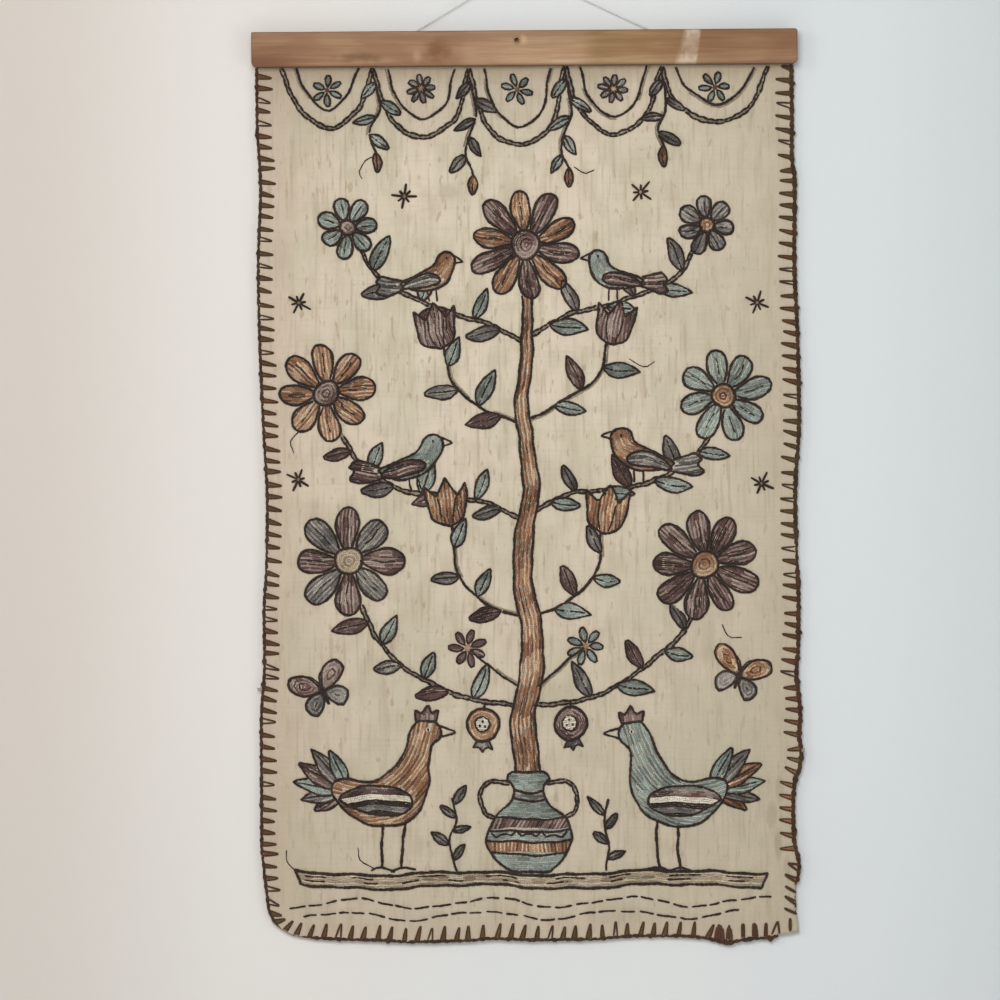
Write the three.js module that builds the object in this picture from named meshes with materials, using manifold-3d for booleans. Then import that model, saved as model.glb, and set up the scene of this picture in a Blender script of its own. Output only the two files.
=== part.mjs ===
// An embroidered wall hanging on a wooden batten, hung by a thin cord from a nail.
// Millimetres, +Z up, front face towards -Y. The wall's face is the plane y = 0.
// The origin is where the nail's axis meets the wall, and "down" is the distance below it.

import * as THREE from 'three';
import { mergeVertices } from 'three/addons/utils/BufferGeometryUtils.js';
import Module from 'manifold-3d';

const wasm = await Module();
wasm.setup();

// Driving dimensions
const GAP = 0.3;
const BATTEN = { left: -257.0, right: 266.5, top: 56.4, bottom: 90.0, back: -7.0, thickness: 12.0 };
const BATTEN_CORNER = { topLeft: 0.9, topRight: 2.5, bottomRight: 5.0, bottomLeft: 5.0 };
const BATTEN_EASING = 0.8;
const FRONT_HOLE = { x: -2.7, down: 65.9, diameter: 4.6, depth: 9.0 };
const CLOTH_THICKNESS = 1.6;
const CLOTH_TOP = 73.3;
const STITCH_PITCH = 11.5;
const RIM = { diameter: 3.4, rightDiameter: 4.2, sides: 5, waist: 0.8, startGap: 0.5 };
const RIM_END = { rightDown: 906, bottomX: 244 };
const NAIL = { diameter: 4.0, length: 15.0, headDiameter: 8.0, headThickness: 1.4 };
const CORD_DIAMETER = 1.1;
const TACK = { shank: 2.4, length: 10.0, head: 7.0, headThickness: 1.1, inWood: 5.2, hole: 3.0 };
const TACKS = [
  { name: 'left', x: -114.0, down: 64.3 },
  { name: 'right', x: 142.6, down: 64.3 },
];
const HITCH = { ring: 2.35, thickness: 1.6 };

// The stitched outline: the left and right edges by height, the bottom edge by width
const LEFT_EDGE = [
  { down: 73.3, x: -253.9 },
  { down: 149.0, x: -253.7 },
  { down: 178.0, x: -251.9 },
  { down: 204.0, x: -250.9 },
  { down: 281.0, x: -253.6 },
  { down: 362.0, x: -252.5 },
  { down: 450.0, x: -248.9 },
  { down: 503.0, x: -246.6 },
  { down: 568.0, x: -247.6 },
  { down: 614.0, x: -250.5 },
  { down: 660.0, x: -250.4 },
  { down: 715.0, x: -253.9 },
  { down: 834.0, x: -254.4 },
  { down: 861.0, x: -252.2 },
  { down: 889.3, x: -249.0 },
];
const RIGHT_EDGE = [
  { down: 73.3, x: 262.9 },
  { down: 134.0, x: 263.1 },
  { down: 179.0, x: 262.8 },
  { down: 201.0, x: 265.4 },
  { down: 278.0, x: 264.5 },
  { down: 347.0, x: 266.8 },
  { down: 422.0, x: 267.9 },
  { down: 447.0, x: 267.2 },
  { down: 480.0, x: 264.7 },
  { down: 508.0, x: 263.5 },
  { down: 566.0, x: 264.8 },
  { down: 600.0, x: 266.1 },
  { down: 652.0, x: 265.4 },
  { down: 674.0, x: 263.6 },
  { down: 701.0, x: 266.2 },
  { down: 717.0, x: 267.1 },
  { down: 734.0, x: 265.6 },
  { down: 750.0, x: 267.7 },
  { down: 766.0, x: 265.9 },
  { down: 779.0, x: 261.2 },
  { down: 801.0, x: 259.6 },
  { down: 835.0, x: 260.2 },
  { down: 847.0, x: 262.8 },
  { down: 859.0, x: 264.6 },
  { down: 869.0, x: 263.6 },
  { down: 880.0, x: 260.7 },
  { down: 905.0, x: 260.9 },
  { down: 922.8, x: 262.2 },
];
const BOTTOM_EDGE = [
  { x: -212.5, down: 925.8 },
  { x: -183.0, down: 928.1 },
  { x: -135.0, down: 929.9 },
  { x: -110.0, down: 931.3 },
  { x: -54.0, down: 930.5 },
  { x: -37.0, down: 928.7 },
  { x: 13.0, down: 930.4 },
  { x: 63.0, down: 929.9 },
  { x: 110.0, down: 927.2 },
  { x: 140.0, down: 927.4 },
  { x: 167.0, down: 929.1 },
  { x: 195.0, down: 933.8 },
  { x: 214.0, down: 931.0 },
  { x: 236.0, down: 929.8 },
  { x: 246.0, down: 926.0 },
  { x: 262.2, down: 922.8 },
];
const ROUND_CORNER = { x: -212.5, down: 889.3, radius: 36.5 };

// Broad swells of the hanging cloth: where, how wide, how high towards the front
const SWELLS = [
  { x: -250, down: 505, wide: 46, tall: 130, height: 2.2 },
  { x: -248, down: 760, wide: 40, tall: 90, height: -1.3 },
  { x: -110, down: 300, wide: 95, tall: 150, height: 1.2 },
  { x: 60, down: 470, wide: 110, tall: 170, height: -1.1 },
  { x: 262, down: 440, wide: 42, tall: 90, height: 1.7 },
  { x: 264, down: 750, wide: 24, tall: 26, height: 2.2 },
  { x: 262, down: 860, wide: 22, tall: 22, height: 2.0 },
  { x: -60, down: 900, wide: 120, tall: 60, height: 1.5 },
  { x: 170, down: 640, wide: 80, tall: 120, height: 1.0 },
];
// Soft creases in the lower right: the line each one follows, its width and depth
const CREASES = [
  { x: 244, down: 777, toX: 220, toDown: 836, width: 7.5, height: -1.5 },
  { x: 237, down: 830, toX: 231, toDown: 898, width: 7.0, height: -1.4 },
  { x: 245, down: 858, toX: 243, toDown: 906, width: 6.5, height: 1.3 },
  { x: 210, down: 868, toX: 209, toDown: 898, width: 6.0, height: -0.9 },
];
const HANG_BACK = -5.9;
const FLAT_BELOW_BATTEN = 12;
const FULL_WAVE_DEPTH = 70;

// Where the cord runs: from the left tack over the nail to the right tack
const CORD_ROUTE = [
  [-110.99, -4.4, -62.51], [-99.0, -4.4, -55.4], [-84.0, -4.4, -46.5], [-68.0, -4.4, -37.0],
  [-52.0, -4.4, -27.5], [-36.0, -4.4, -18.0], [-20.0, -4.4, -8.5], [-8.0, -4.4, -1.38],
  [-3.6, -4.4, 1.23], [-1.55, -4.4, 2.38], [-0.6, -4.4, 2.79], [0.3, -4.4, 2.88],
  [1.25, -4.4, 2.6], [3.6, -4.4, 1.5], [8.5, -4.4, -0.82], [22.0, -4.4, -7.21],
  [40.0, -4.4, -15.73], [58.0, -4.4, -24.25], [76.0, -4.4, -32.77], [94.0, -4.4, -41.29],
  [110.0, -4.4, -48.86], [126.0, -4.4, -56.43], [139.44, -4.4, -62.79],
];
const CORD_STEPS_EACH = 3;

const material = (color, roughness, metalness = 0) =>
  new THREE.MeshStandardMaterial({ color, roughness, metalness });
const wood = material(0xa5876a, 0.75);
const linen = material(0xc3b69c, 0.95);
const yarn = material(0x57402f, 0.95);
const steel = material(0x8c8880, 0.45, 0.9);
const greyCord = material(0x8f8a80, 0.9);

const clamp01 = (value) => Math.min(1, Math.max(0, value));
const smooth = (value) => clamp01(value) ** 2 * (3 - 2 * clamp01(value));
const mix = (a, b, share) => a + (b - a) * share;

// A smooth curve through a table: the value of one column at a place in the other
function along(table, key, column, place) {
  const last = table.length - 1;
  let i = table.findIndex((row) => row[key] > place) - 1;
  if (i < 0) {
    i = place < table[0][key] ? 0 : last - 1;
  }
  const [a, b] = [table[i], table[i + 1]];
  const before = table[Math.max(0, i - 1)];
  const after = table[Math.min(last, i + 2)];
  const span = b[key] - a[key];
  const slope = (p, q) => (q[column] - p[column]) / (q[key] - p[key]);
  const inner = slope(a, b);
  const start = i > 0 ? limited(slope(before, a), inner) : inner;
  const end = i + 1 < last ? limited(slope(b, after), inner) : inner;
  const s = clamp01((place - a[key]) / span);
  const hold = (1 - s) ** 2 * (1 + 2 * s) * a[column] + s * s * (3 - 2 * s) * b[column];
  return hold + span * (s * (1 - s) ** 2 * start - s * s * (1 - s) * end);
}

// The slope at a row that its two neighbours share, level where they disagree
function limited(p, q) {
  return p * q <= 0 ? 0 : (2 * p * q) / (p + q);
}

// The middle of the cloth's thickness, as a place along y
function surface(x, down) {
  let height = 0;
  for (const swell of SWELLS) {
    const u = (x - swell.x) / swell.wide;
    const v = (down - swell.down) / swell.tall;
    height += swell.height * Math.exp(-u * u - v * v);
  }
  for (const crease of CREASES) {
    const [alongX, alongDown] = [crease.toX - crease.x, crease.toDown - crease.down];
    const share = ((x - crease.x) * alongX + (down - crease.down) * alongDown)
      / (alongX ** 2 + alongDown ** 2);
    const off = Math.hypot(x - mix(crease.x, crease.toX, clamp01(share)),
      down - mix(crease.down, crease.toDown, clamp01(share)));
    height += crease.height * Math.exp(-((off / crease.width) ** 2));
  }
  return HANG_BACK - height * smooth((down - BATTEN.bottom - FLAT_BELOW_BATTEN) / FULL_WAVE_DEPTH);
}

// The outline in one piece, from the top left down, along the bottom and up to the top right
const cornerArc = (ROUND_CORNER.radius * Math.PI) / 2;
const leftRun = ROUND_CORNER.down - CLOTH_TOP;
const bottomRun = BOTTOM_EDGE.at(-1).x - ROUND_CORNER.x;
const rightRun = RIGHT_EDGE.at(-1).down - CLOTH_TOP;

function leftOrBottom(distance) {
  if (distance <= leftRun) {
    const down = CLOTH_TOP + distance;
    return { x: along(LEFT_EDGE, 'down', 'x', down), down };
  }
  if (distance <= leftRun + cornerArc) {
    const angle = (distance - leftRun) / ROUND_CORNER.radius;
    return {
      x: ROUND_CORNER.x - ROUND_CORNER.radius * Math.cos(angle),
      down: ROUND_CORNER.down + ROUND_CORNER.radius * Math.sin(angle),
    };
  }
  const x = ROUND_CORNER.x + distance - leftRun - cornerArc;
  return { x, down: along(BOTTOM_EDGE, 'x', 'down', x) };
}

function rightSide(distance) {
  const down = CLOTH_TOP + distance;
  return { x: along(RIGHT_EDGE, 'down', 'x', down), down };
}

// A point of the outline and the same point moved inwards from it
function station(curve, distance, turn) {
  const step = 0.5;
  const [a, b] = [curve(distance - step), curve(distance + step)];
  const length = Math.hypot(b.x - a.x, b.down - a.down);
  const inwards = { x: (turn * (b.down - a.down)) / length, down: (-turn * (b.x - a.x)) / length };
  const point = curve(distance);
  return {
    distance,
    point,
    moved: (by) => ({ x: point.x + inwards.x * by, down: point.down + inwards.down * by }),
  };
}

// Places of the cloth's rows and columns, closer together where the creases are
function spread(stops) {
  const places = [stops[0].to];
  for (const stop of stops.slice(1)) {
    const start = places.at(-1);
    const count = Math.max(1, Math.round((stop.to - start) / stop.pitch));
    for (let i = 1; i <= count; i++) {
      places.push(mix(start, stop.to, i / count));
    }
  }
  return places;
}

const rowPlaces = spread([
  { to: CLOTH_TOP },
  { to: BATTEN.bottom + RIM.startGap, pitch: 20 },
  { to: 770, pitch: 21 },
  { to: 900, pitch: 10 },
  { to: RIM_END.rightDown, pitch: 10 },
  { to: 911, pitch: 10 },
  { to: RIGHT_EDGE.at(-1).down, pitch: 10 },
]);
const columnPlaces = spread([
  { to: ROUND_CORNER.x - cornerArc / 2 },
  { to: ROUND_CORNER.x, pitch: 10 },
  { to: 190, pitch: 25 },
  { to: 236, pitch: 9 },
  { to: RIM_END.bottomX, pitch: 10 },
  { to: 249, pitch: 10 },
  { to: BOTTOM_EDGE.at(-1).x, pitch: 10 },
]);

const leftShare = (leftRun + cornerArc / 2) / rightRun;
const leftStations = rowPlaces.map((down) => station(leftOrBottom, (down - CLOTH_TOP) * leftShare, 1));
const rightStations = rowPlaces.map((down) => station(rightSide, down - CLOTH_TOP, -1));
const bottomStart = leftRun + cornerArc - ROUND_CORNER.x;
const bottomStations = columnPlaces.map((x) => station(leftOrBottom, bottomStart + x, 1));

const leftInset = RIM.diameter + GAP + 0.05;
const rightInset = RIM.rightDiameter + GAP + 0.05;
const leftEdge = leftStations.map((s) => s.moved(leftInset));
const bottomEdge = bottomStations.map((s, i) =>
  s.moved(columnPlaces[i] <= RIM_END.bottomX + 0.01 ? leftInset : 0));
const rightEdge = rightStations.map((s, i) =>
  s.moved(rowPlaces[i] <= RIM_END.rightDown + 0.01 ? rightInset : 0));
bottomEdge[bottomEdge.length - 1] = rightEdge.at(-1);
bottomEdge[0] = leftEdge.at(-1);

// A closed body from rings of points, or from two matching faces and their rim
function body(positions, triangles) {
  const geometry = new THREE.BufferGeometry();
  geometry.setAttribute('position', new THREE.Float32BufferAttribute(positions, 3));
  geometry.setIndex(triangles);
  geometry.computeVertexNormals();
  return geometry;
}

// The cloth: a grid between its four edges, thickened to the front and the back
function clothGeometry() {
  const rows = rowPlaces.length;
  const columns = columnPlaces.length;
  const firstColumn = columnPlaces[0];
  const columnSpan = columnPlaces.at(-1) - firstColumn;
  const rowSpan = rowPlaces.at(-1) - rowPlaces[0];
  const [topLeft, topRight] = [leftEdge[0], rightEdge[0]];
  const [lowLeft, lowRight] = [leftEdge.at(-1), rightEdge.at(-1)];
  const positions = [];
  for (const side of [-1, 1]) {
    for (let i = 0; i < rows; i++) {
      const t = (rowPlaces[i] - rowPlaces[0]) / rowSpan;
      for (let j = 0; j < columns; j++) {
        const s = (columnPlaces[j] - firstColumn) / columnSpan;
        const at = (key) => mix(leftEdge[i][key], rightEdge[i][key], s)
          + mix(mix(topLeft[key], topRight[key], s), bottomEdge[j][key], t)
          - mix(mix(topLeft[key], topRight[key], s), mix(lowLeft[key], lowRight[key], s), t);
        const [x, down] = [at('x'), at('down')];
        positions.push(x, surface(x, down) + (side * CLOTH_THICKNESS) / 2, -down);
      }
    }
  }
  const back = rows * columns;
  const triangles = [];
  const quad = (a, b, c, d) => triangles.push(a, b, c, a, c, d);
  for (let i = 0; i + 1 < rows; i++) {
    for (let j = 0; j + 1 < columns; j++) {
      const a = i * columns + j;
      quad(a, a + columns, a + columns + 1, a + 1);
      quad(back + a, back + a + 1, back + a + columns + 1, back + a + columns);
    }
    const left = i * columns;
    const right = left + columns - 1;
    quad(left, back + left, back + left + columns, left + columns);
    quad(right, right + columns, back + right + columns, back + right);
  }
  for (let j = 0; j + 1 < columns; j++) {
    const low = (rows - 1) * columns + j;
    quad(j, j + 1, back + j + 1, back + j);
    quad(low, back + low, back + low + 1, low + 1);
  }
  return body(positions, triangles);
}

// A lumpy yarn roll along the stitched edge, thickest at each stitch
function rimGeometry(stations, diameter) {
  const radius = diameter / 2;
  const centres = stations.map((s) => s.moved(radius));
  const rings = [];
  for (let i = 0; i + 1 < centres.length; i++) {
    const [a, b] = [centres[i], centres[i + 1]];
    const length = Math.hypot(b.x - a.x, b.down - a.down);
    const count = Math.max(1, Math.round(length / (STITCH_PITCH / 2)));
    const yA = surface(a.x, a.down);
    const yB = surface(b.x, b.down);
    const lastInterval = i + 2 === centres.length;
    for (let k = 0; k < count + (lastInterval ? 1 : 0); k++) {
      const share = k / count;
      const outwards = [a, b].map((c, end) => {
        const { point } = stations[i + end];
        return { x: (point.x - c.x) / radius, down: (point.down - c.down) / radius };
      });
      rings.push({
        x: mix(a.x, b.x, share),
        down: mix(a.down, b.down, share),
        y: mix(yA, yB, share),
        outX: mix(outwards[0].x, outwards[1].x, share),
        outDown: mix(outwards[0].down, outwards[1].down, share),
      });
    }
  }
  const positions = [];
  rings.forEach((ring, i) => {
    const size = radius * (i % 2 ? RIM.waist : 1);
    for (let k = 0; k < RIM.sides; k++) {
      const angle = ((k + 0.5) / RIM.sides) * 2 * Math.PI;
      const out = size * Math.cos(angle);
      positions.push(
        ring.x + ring.outX * out,
        ring.y + size * Math.sin(angle),
        -(ring.down + ring.outDown * out),
      );
    }
  });
  const triangles = [];
  for (let i = 0; i + 1 < rings.length; i++) {
    for (let k = 0; k < RIM.sides; k++) {
      const next = (k + 1) % RIM.sides;
      const [a, b] = [i * RIM.sides + k, i * RIM.sides + next];
      triangles.push(a, b, b + RIM.sides, a, b + RIM.sides, a + RIM.sides);
    }
  }
  const end = (rings.length - 1) * RIM.sides;
  for (let k = 1; k + 1 < RIM.sides; k++) {
    triangles.push(0, k + 1, k, end, end + k, end + k + 1);
  }
  return { positions, triangles };
}

// The rim's faces point out whichever way round its stations run
function rim(stations, diameter, clockwise) {
  const { positions, triangles } = rimGeometry(stations, diameter);
  if (clockwise) {
    for (let i = 0; i < triangles.length; i += 3) {
      [triangles[i + 1], triangles[i + 2]] = [triangles[i + 2], triangles[i + 1]];
    }
  }
  return body(positions, triangles);
}

// A solid for joining and cutting, and the way back
function solid(geometry) {
  const bare = geometry.clone();
  bare.deleteAttribute('normal');
  bare.deleteAttribute('uv');
  const merged = mergeVertices(bare, 1e-4);
  const mesh = new wasm.Mesh({
    numProp: 3,
    vertProperties: new Float32Array(merged.attributes.position.array),
    triVerts: new Uint32Array(merged.index.array),
  });
  return new wasm.Manifold(mesh);
}

function geometryOf(manifold) {
  const mesh = manifold.getMesh();
  return body(Array.from(mesh.vertProperties), Array.from(mesh.triVerts));
}

// The batten's outline, with an arc at each corner, pushed back to its thickness
function battenGeometry() {
  const { left, right, top, bottom, back, thickness } = BATTEN;
  const corner = BATTEN_CORNER;
  const quarter = Math.PI / 2;
  const shape = new THREE.Shape();
  shape.absarc(right - corner.topRight, -top - corner.topRight, corner.topRight, 0, quarter);
  shape.absarc(left + corner.topLeft, -top - corner.topLeft, corner.topLeft, quarter, 2 * quarter);
  shape.absarc(left + corner.bottomLeft, -bottom + corner.bottomLeft, corner.bottomLeft,
    2 * quarter, 3 * quarter);
  shape.absarc(right - corner.bottomRight, -bottom + corner.bottomRight, corner.bottomRight,
    3 * quarter, 4 * quarter);
  shape.closePath();
  const block = new THREE.ExtrudeGeometry(shape, {
    depth: thickness - 2 * BATTEN_EASING,
    bevelThickness: BATTEN_EASING,
    bevelSize: BATTEN_EASING,
    bevelOffset: -BATTEN_EASING,
    bevelSegments: 2,
    curveSegments: 4,
  });
  block.rotateX(quarter);
  block.translate(0, back - BATTEN_EASING, 0);
  const hole = (x, down, diameter, depth, y) => {
    const cutter = new THREE.CylinderGeometry(diameter / 2, diameter / 2, depth, 14);
    cutter.translate(x, y, -down);
    return solid(cutter);
  };
  const front = back - thickness;
  let batten = solid(block)
    .subtract(hole(FRONT_HOLE.x, FRONT_HOLE.down, FRONT_HOLE.diameter, 2 * FRONT_HOLE.depth, front));
  for (const tack of TACKS) {
    const depth = 2 * (TACK.inWood + GAP);
    batten = batten.subtract(hole(tack.x, tack.down, TACK.hole, depth, back));
  }
  return geometryOf(batten);
}

// A nail or tack turned about its shank: the pointless end first, then the domed head
function turned(shank, length, head, headThickness, sides) {
  const profile = [
    new THREE.Vector2(0, 0),
    new THREE.Vector2(shank / 2, 0),
    new THREE.Vector2(shank / 2, length - headThickness),
    new THREE.Vector2(head / 2, length - headThickness),
    new THREE.Vector2(head / 2 - 0.3, length - headThickness * 0.45),
    new THREE.Vector2(head / 4, length - headThickness * 0.08),
    new THREE.Vector2(0, length),
  ];
  return new THREE.LatheGeometry(profile, sides);
}

// The nail grows out of the wall towards the front
function nailGeometry() {
  const nail = turned(NAIL.diameter, NAIL.length, NAIL.headDiameter, NAIL.headThickness, 16);
  nail.rotateX(Math.PI);
  return nail;
}

// A tack stands in the batten's back with its head towards the wall
function tackGeometry() {
  return turned(TACK.shank, TACK.length, TACK.head, TACK.headThickness, 12);
}

// The cord's end is wound round the tack as a small ring
function hitchGeometry() {
  const profile = [];
  for (let i = 0; i <= 6; i++) {
    const angle = (-i / 6) * 2 * Math.PI;
    profile.push(new THREE.Vector2(
      HITCH.ring + (HITCH.thickness / 2) * Math.cos(angle),
      (HITCH.thickness / 2) * Math.sin(angle),
    ));
  }
  profile[6].copy(profile[0]);
  profile.reverse();
  return new THREE.LatheGeometry(profile, 14);
}

// The route's own points share out the steps, so that the bend over the nail gets its full number
class Route extends THREE.CatmullRomCurve3 {
  getPointAt(share, target) {
    return this.getPoint(share, target);
  }

  getTangentAt(share, target) {
    return this.getTangent(share, target);
  }
}

function cordGeometry() {
  const route = new Route(CORD_ROUTE.map((p) => new THREE.Vector3(...p)), false, 'centripetal');
  const section = new THREE.Shape();
  for (let k = 0; k < 8; k++) {
    const angle = (k / 8) * 2 * Math.PI;
    const [x, y] = [Math.cos(angle) * (CORD_DIAMETER / 2), Math.sin(angle) * (CORD_DIAMETER / 2)];
    if (k === 0) {
      section.moveTo(x, y);
    } else {
      section.lineTo(x, y);
    }
  }
  section.closePath();
  return new THREE.ExtrudeGeometry(section, {
    steps: (CORD_ROUTE.length - 1) * CORD_STEPS_EACH,
    extrudePath: route,
  });
}

const hanging = new THREE.Group();

function add(name, geometry, surfaceMaterial, parent = hanging) {
  const mesh = new THREE.Mesh(geometry, surfaceMaterial);
  mesh.name = name;
  parent.add(mesh);
  return mesh;
}

add('batten', battenGeometry(), wood);
add('cloth', clothGeometry(), linen);

const belowBatten = (s, i) => rowPlaces[i] >= BATTEN.bottom + RIM.startGap - 0.01;
const leftRim = leftStations.filter(belowBatten).slice(0, -1);
const bottomRim = bottomStations.filter((s, i) => columnPlaces[i] <= RIM_END.bottomX + 0.01);
const rightRim = rightStations.filter((s, i) =>
  belowBatten(s, i) && rowPlaces[i] <= RIM_END.rightDown + 0.01);
add('edging_left', rim([...leftRim, ...bottomRim], RIM.diameter, false), yarn);
add('edging_right', rim(rightRim, RIM.rightDiameter, true), yarn);

add('nail', nailGeometry(), steel);
add('cord', cordGeometry(), greyCord);
for (const tack of TACKS) {
  const place = new THREE.Group();
  place.position.set(tack.x, BATTEN.back, -tack.down);
  hanging.add(place);
  add(`tack_${tack.name}`, tackGeometry(), steel, place).position.y = -TACK.inWood;
  add(`hitch_${tack.name}`, hitchGeometry(), greyCord, place).position.y = CORD_ROUTE[0][1] - BATTEN.back;
}

export default hanging;
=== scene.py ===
"""An embroidered wall hanging on a wooden batten: its finish, stitches, stage, lights and camera.

The design is worked out in millimetres, with x to the right and "down" below the nail, as the
solids are, and turned into metres where a mesh is made.
"""

import math

import bpy
import numpy as np
from mathutils import Matrix, Vector


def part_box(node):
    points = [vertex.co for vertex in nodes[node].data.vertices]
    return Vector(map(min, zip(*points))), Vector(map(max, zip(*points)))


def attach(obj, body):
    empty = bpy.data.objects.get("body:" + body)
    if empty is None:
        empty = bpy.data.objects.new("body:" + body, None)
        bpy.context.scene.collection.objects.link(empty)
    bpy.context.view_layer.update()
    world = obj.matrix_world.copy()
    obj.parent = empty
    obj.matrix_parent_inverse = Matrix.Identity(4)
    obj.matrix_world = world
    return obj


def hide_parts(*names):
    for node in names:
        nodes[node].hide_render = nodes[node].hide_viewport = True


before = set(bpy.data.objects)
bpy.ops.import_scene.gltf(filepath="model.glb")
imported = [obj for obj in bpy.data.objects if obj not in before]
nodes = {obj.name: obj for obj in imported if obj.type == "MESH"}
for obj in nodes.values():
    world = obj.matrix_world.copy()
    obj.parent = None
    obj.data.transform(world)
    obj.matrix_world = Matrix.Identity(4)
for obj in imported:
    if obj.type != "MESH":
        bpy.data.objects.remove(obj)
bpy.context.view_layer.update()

MM = 0.001
rng = np.random.default_rng(11)

# Camera: the photograph's frame, in its pixels, and where it lies on the hanging
PIXEL = 0.96
VIEW_PIXELS = 1000
VIEW_CENTRE = (-21.8, 506.4)
ROLL = math.radians(0.42)
CAMERA_DISTANCE = 6000.0
CLOTH_PLANE = -7.0
SENSOR = 36.0


def make_camera():
    """Looks straight at the wall, rolled so that the hanging leans as it does in the photograph."""
    data = bpy.data.cameras.new("camera")
    data.sensor_width = SENSOR
    data.lens = SENSOR * CAMERA_DISTANCE / (VIEW_PIXELS * PIXEL)
    camera = bpy.data.objects.new("camera", data)
    right = Vector((math.cos(ROLL), 0, -math.sin(ROLL)))
    up = Vector((math.sin(ROLL), 0, math.cos(ROLL)))
    turn = Matrix((right, up, right.cross(up))).transposed().to_4x4()
    x, down = VIEW_CENTRE
    at = Vector((x, CLOTH_PLANE - CAMERA_DISTANCE, -down)) * MM
    camera.matrix_world = Matrix.Translation(at) @ turn
    bpy.context.scene.collection.objects.link(camera)
    bpy.context.scene.camera = camera


make_camera()


# Materials


class Shade:
    """A material whose nodes are added and linked in one call each."""

    def __init__(self, name, roughness, specular=0.2, sheen=0.0, metallic=0.0):
        self.material = bpy.data.materials.new(name)
        self.material.use_nodes = True
        self.tree = self.material.node_tree
        self.shader = self.tree.nodes["Principled BSDF"]
        self.shader.inputs["Roughness"].default_value = roughness
        self.shader.inputs["Specular IOR Level"].default_value = specular
        self.shader.inputs["Sheen Weight"].default_value = sheen
        self.shader.inputs["Metallic"].default_value = metallic
        self.place = self.add("ShaderNodeTexCoord").outputs["Object"]

    def add(self, kind, values=(), **settings):
        node = self.tree.nodes.new(kind)
        for key, value in settings.items():
            setattr(node, key, value)
        for key, value in dict(values).items():
            self.feed(node.inputs[key], value)
        return node

    def feed(self, socket, value):
        if isinstance(value, bpy.types.NodeSocket):
            self.tree.links.new(value, socket)
        else:
            socket.default_value = value

    def noise(self, scale, detail=3.0, distortion=0.0):
        """Cloudy noise, with so many cells a metre along x, y and z."""
        stretched = self.add("ShaderNodeVectorMath", {0: self.place, 1: scale}, operation="MULTIPLY")
        values = {"Vector": stretched.outputs[0], "Scale": 1.0, "Detail": detail}
        values["Distortion"] = distortion
        return self.add("ShaderNodeTexNoise", values).outputs["Fac"]

    def bands(self, direction, pitch, distortion=0.0):
        """Even bands across x or z, pitch metres apart."""
        values = {"Vector": self.place, "Scale": math.pi / 10 / pitch, "Distortion": distortion}
        values["Detail Scale"] = 2.0
        return self.add(
            "ShaderNodeTexWave", values, bands_direction=direction, wave_profile="SIN"
        ).outputs["Fac"]

    def math(self, operation, a, b=0.0):
        return self.add("ShaderNodeMath", {0: a, 1: b}, operation=operation).outputs[0]

    def times(self, a, b):
        return self.math("MULTIPLY", a, b)

    def plus(self, a, b):
        return self.math("ADD", a, b)

    def larger(self, a, b):
        return self.math("MAXIMUM", a, b)

    def axes(self):
        """The place's x, y and z."""
        return self.add("ShaderNodeSeparateXYZ", {0: self.place}).outputs

    def level(self, value, low, high, to_low=0.0, to_high=1.0):
        """value from low to high, spread softly from to_low to to_high."""
        values = {"Value": value, "From Min": low, "From Max": high}
        values.update({"To Min": to_low, "To Max": to_high})
        return self.add("ShaderNodeMapRange", values, interpolation_type="SMOOTHSTEP").outputs[0]

    def patch(self, x, down, wide, tall, core=0.4, uneven=0.0):
        """1 in the core of a patch, falling to 0 at its edge, in millimetres."""
        centre = Vector((x, 0, -down)) * MM
        away = self.add("ShaderNodeVectorMath", {0: self.place, 1: centre}, operation="SUBTRACT")
        size = (1 / (wide * MM), 0, 1 / (tall * MM))
        scaled = self.add("ShaderNodeVectorMath", {0: away.outputs[0], 1: size}, operation="MULTIPLY")
        length = self.add("ShaderNodeVectorMath", {0: scaled.outputs[0]}, operation="LENGTH")
        reach = length.outputs["Value"]
        if uneven:
            wander = self.level(self.noise((90, 60, 110), 2.0), 0.3, 0.7, -uneven, uneven)
            reach = self.plus(reach, wander)
        return self.level(reach, core, 1.0, 1.0, 0.0)

    def mix(self, share, a, b, blend="MIX"):
        node = self.add("ShaderNodeMix", data_type="RGBA", blend_type=blend)
        self.feed(node.inputs[0], share)
        self.feed(node.inputs[6], a if isinstance(a, bpy.types.NodeSocket) else rgba(a))
        self.feed(node.inputs[7], b if isinstance(b, bpy.types.NodeSocket) else rgba(b))
        return node.outputs[2]

    def tone(self, share, colour, factor):
        """The colour with its red, green and blue light scaled, in the given share."""
        node = self.add("ShaderNodeMix", data_type="RGBA", blend_type="MULTIPLY")
        for socket, value in ((0, share), (6, colour), (7, (*factor, 1.0))):
            self.feed(node.inputs[socket], value)
        return node.outputs[2]

    def coats(self, colour, *coats):
        """The colour under coats of others, each laid on in its own share."""
        for share, shade in coats:
            colour = self.mix(share, colour, shade)
        return colour

    def finish(self, colour, height=None, depth=0.0002):
        self.feed(self.shader.inputs["Base Color"], colour)
        if height is not None:
            bump = self.add("ShaderNodeBump", {"Height": height, "Distance": depth, "Strength": 1.0})
            self.feed(self.shader.inputs["Normal"], bump.outputs[0])
        return self.material


def linear(colour):
    """An sRGB colour, 0 to 255, as linear light."""
    c = np.array(colour, float) / 255
    return np.where(c <= 0.04045, c / 12.92, ((c + 0.055) / 1.055) ** 2.4)


def rgba(colour):
    return (*linear(colour), 1.0)


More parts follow.
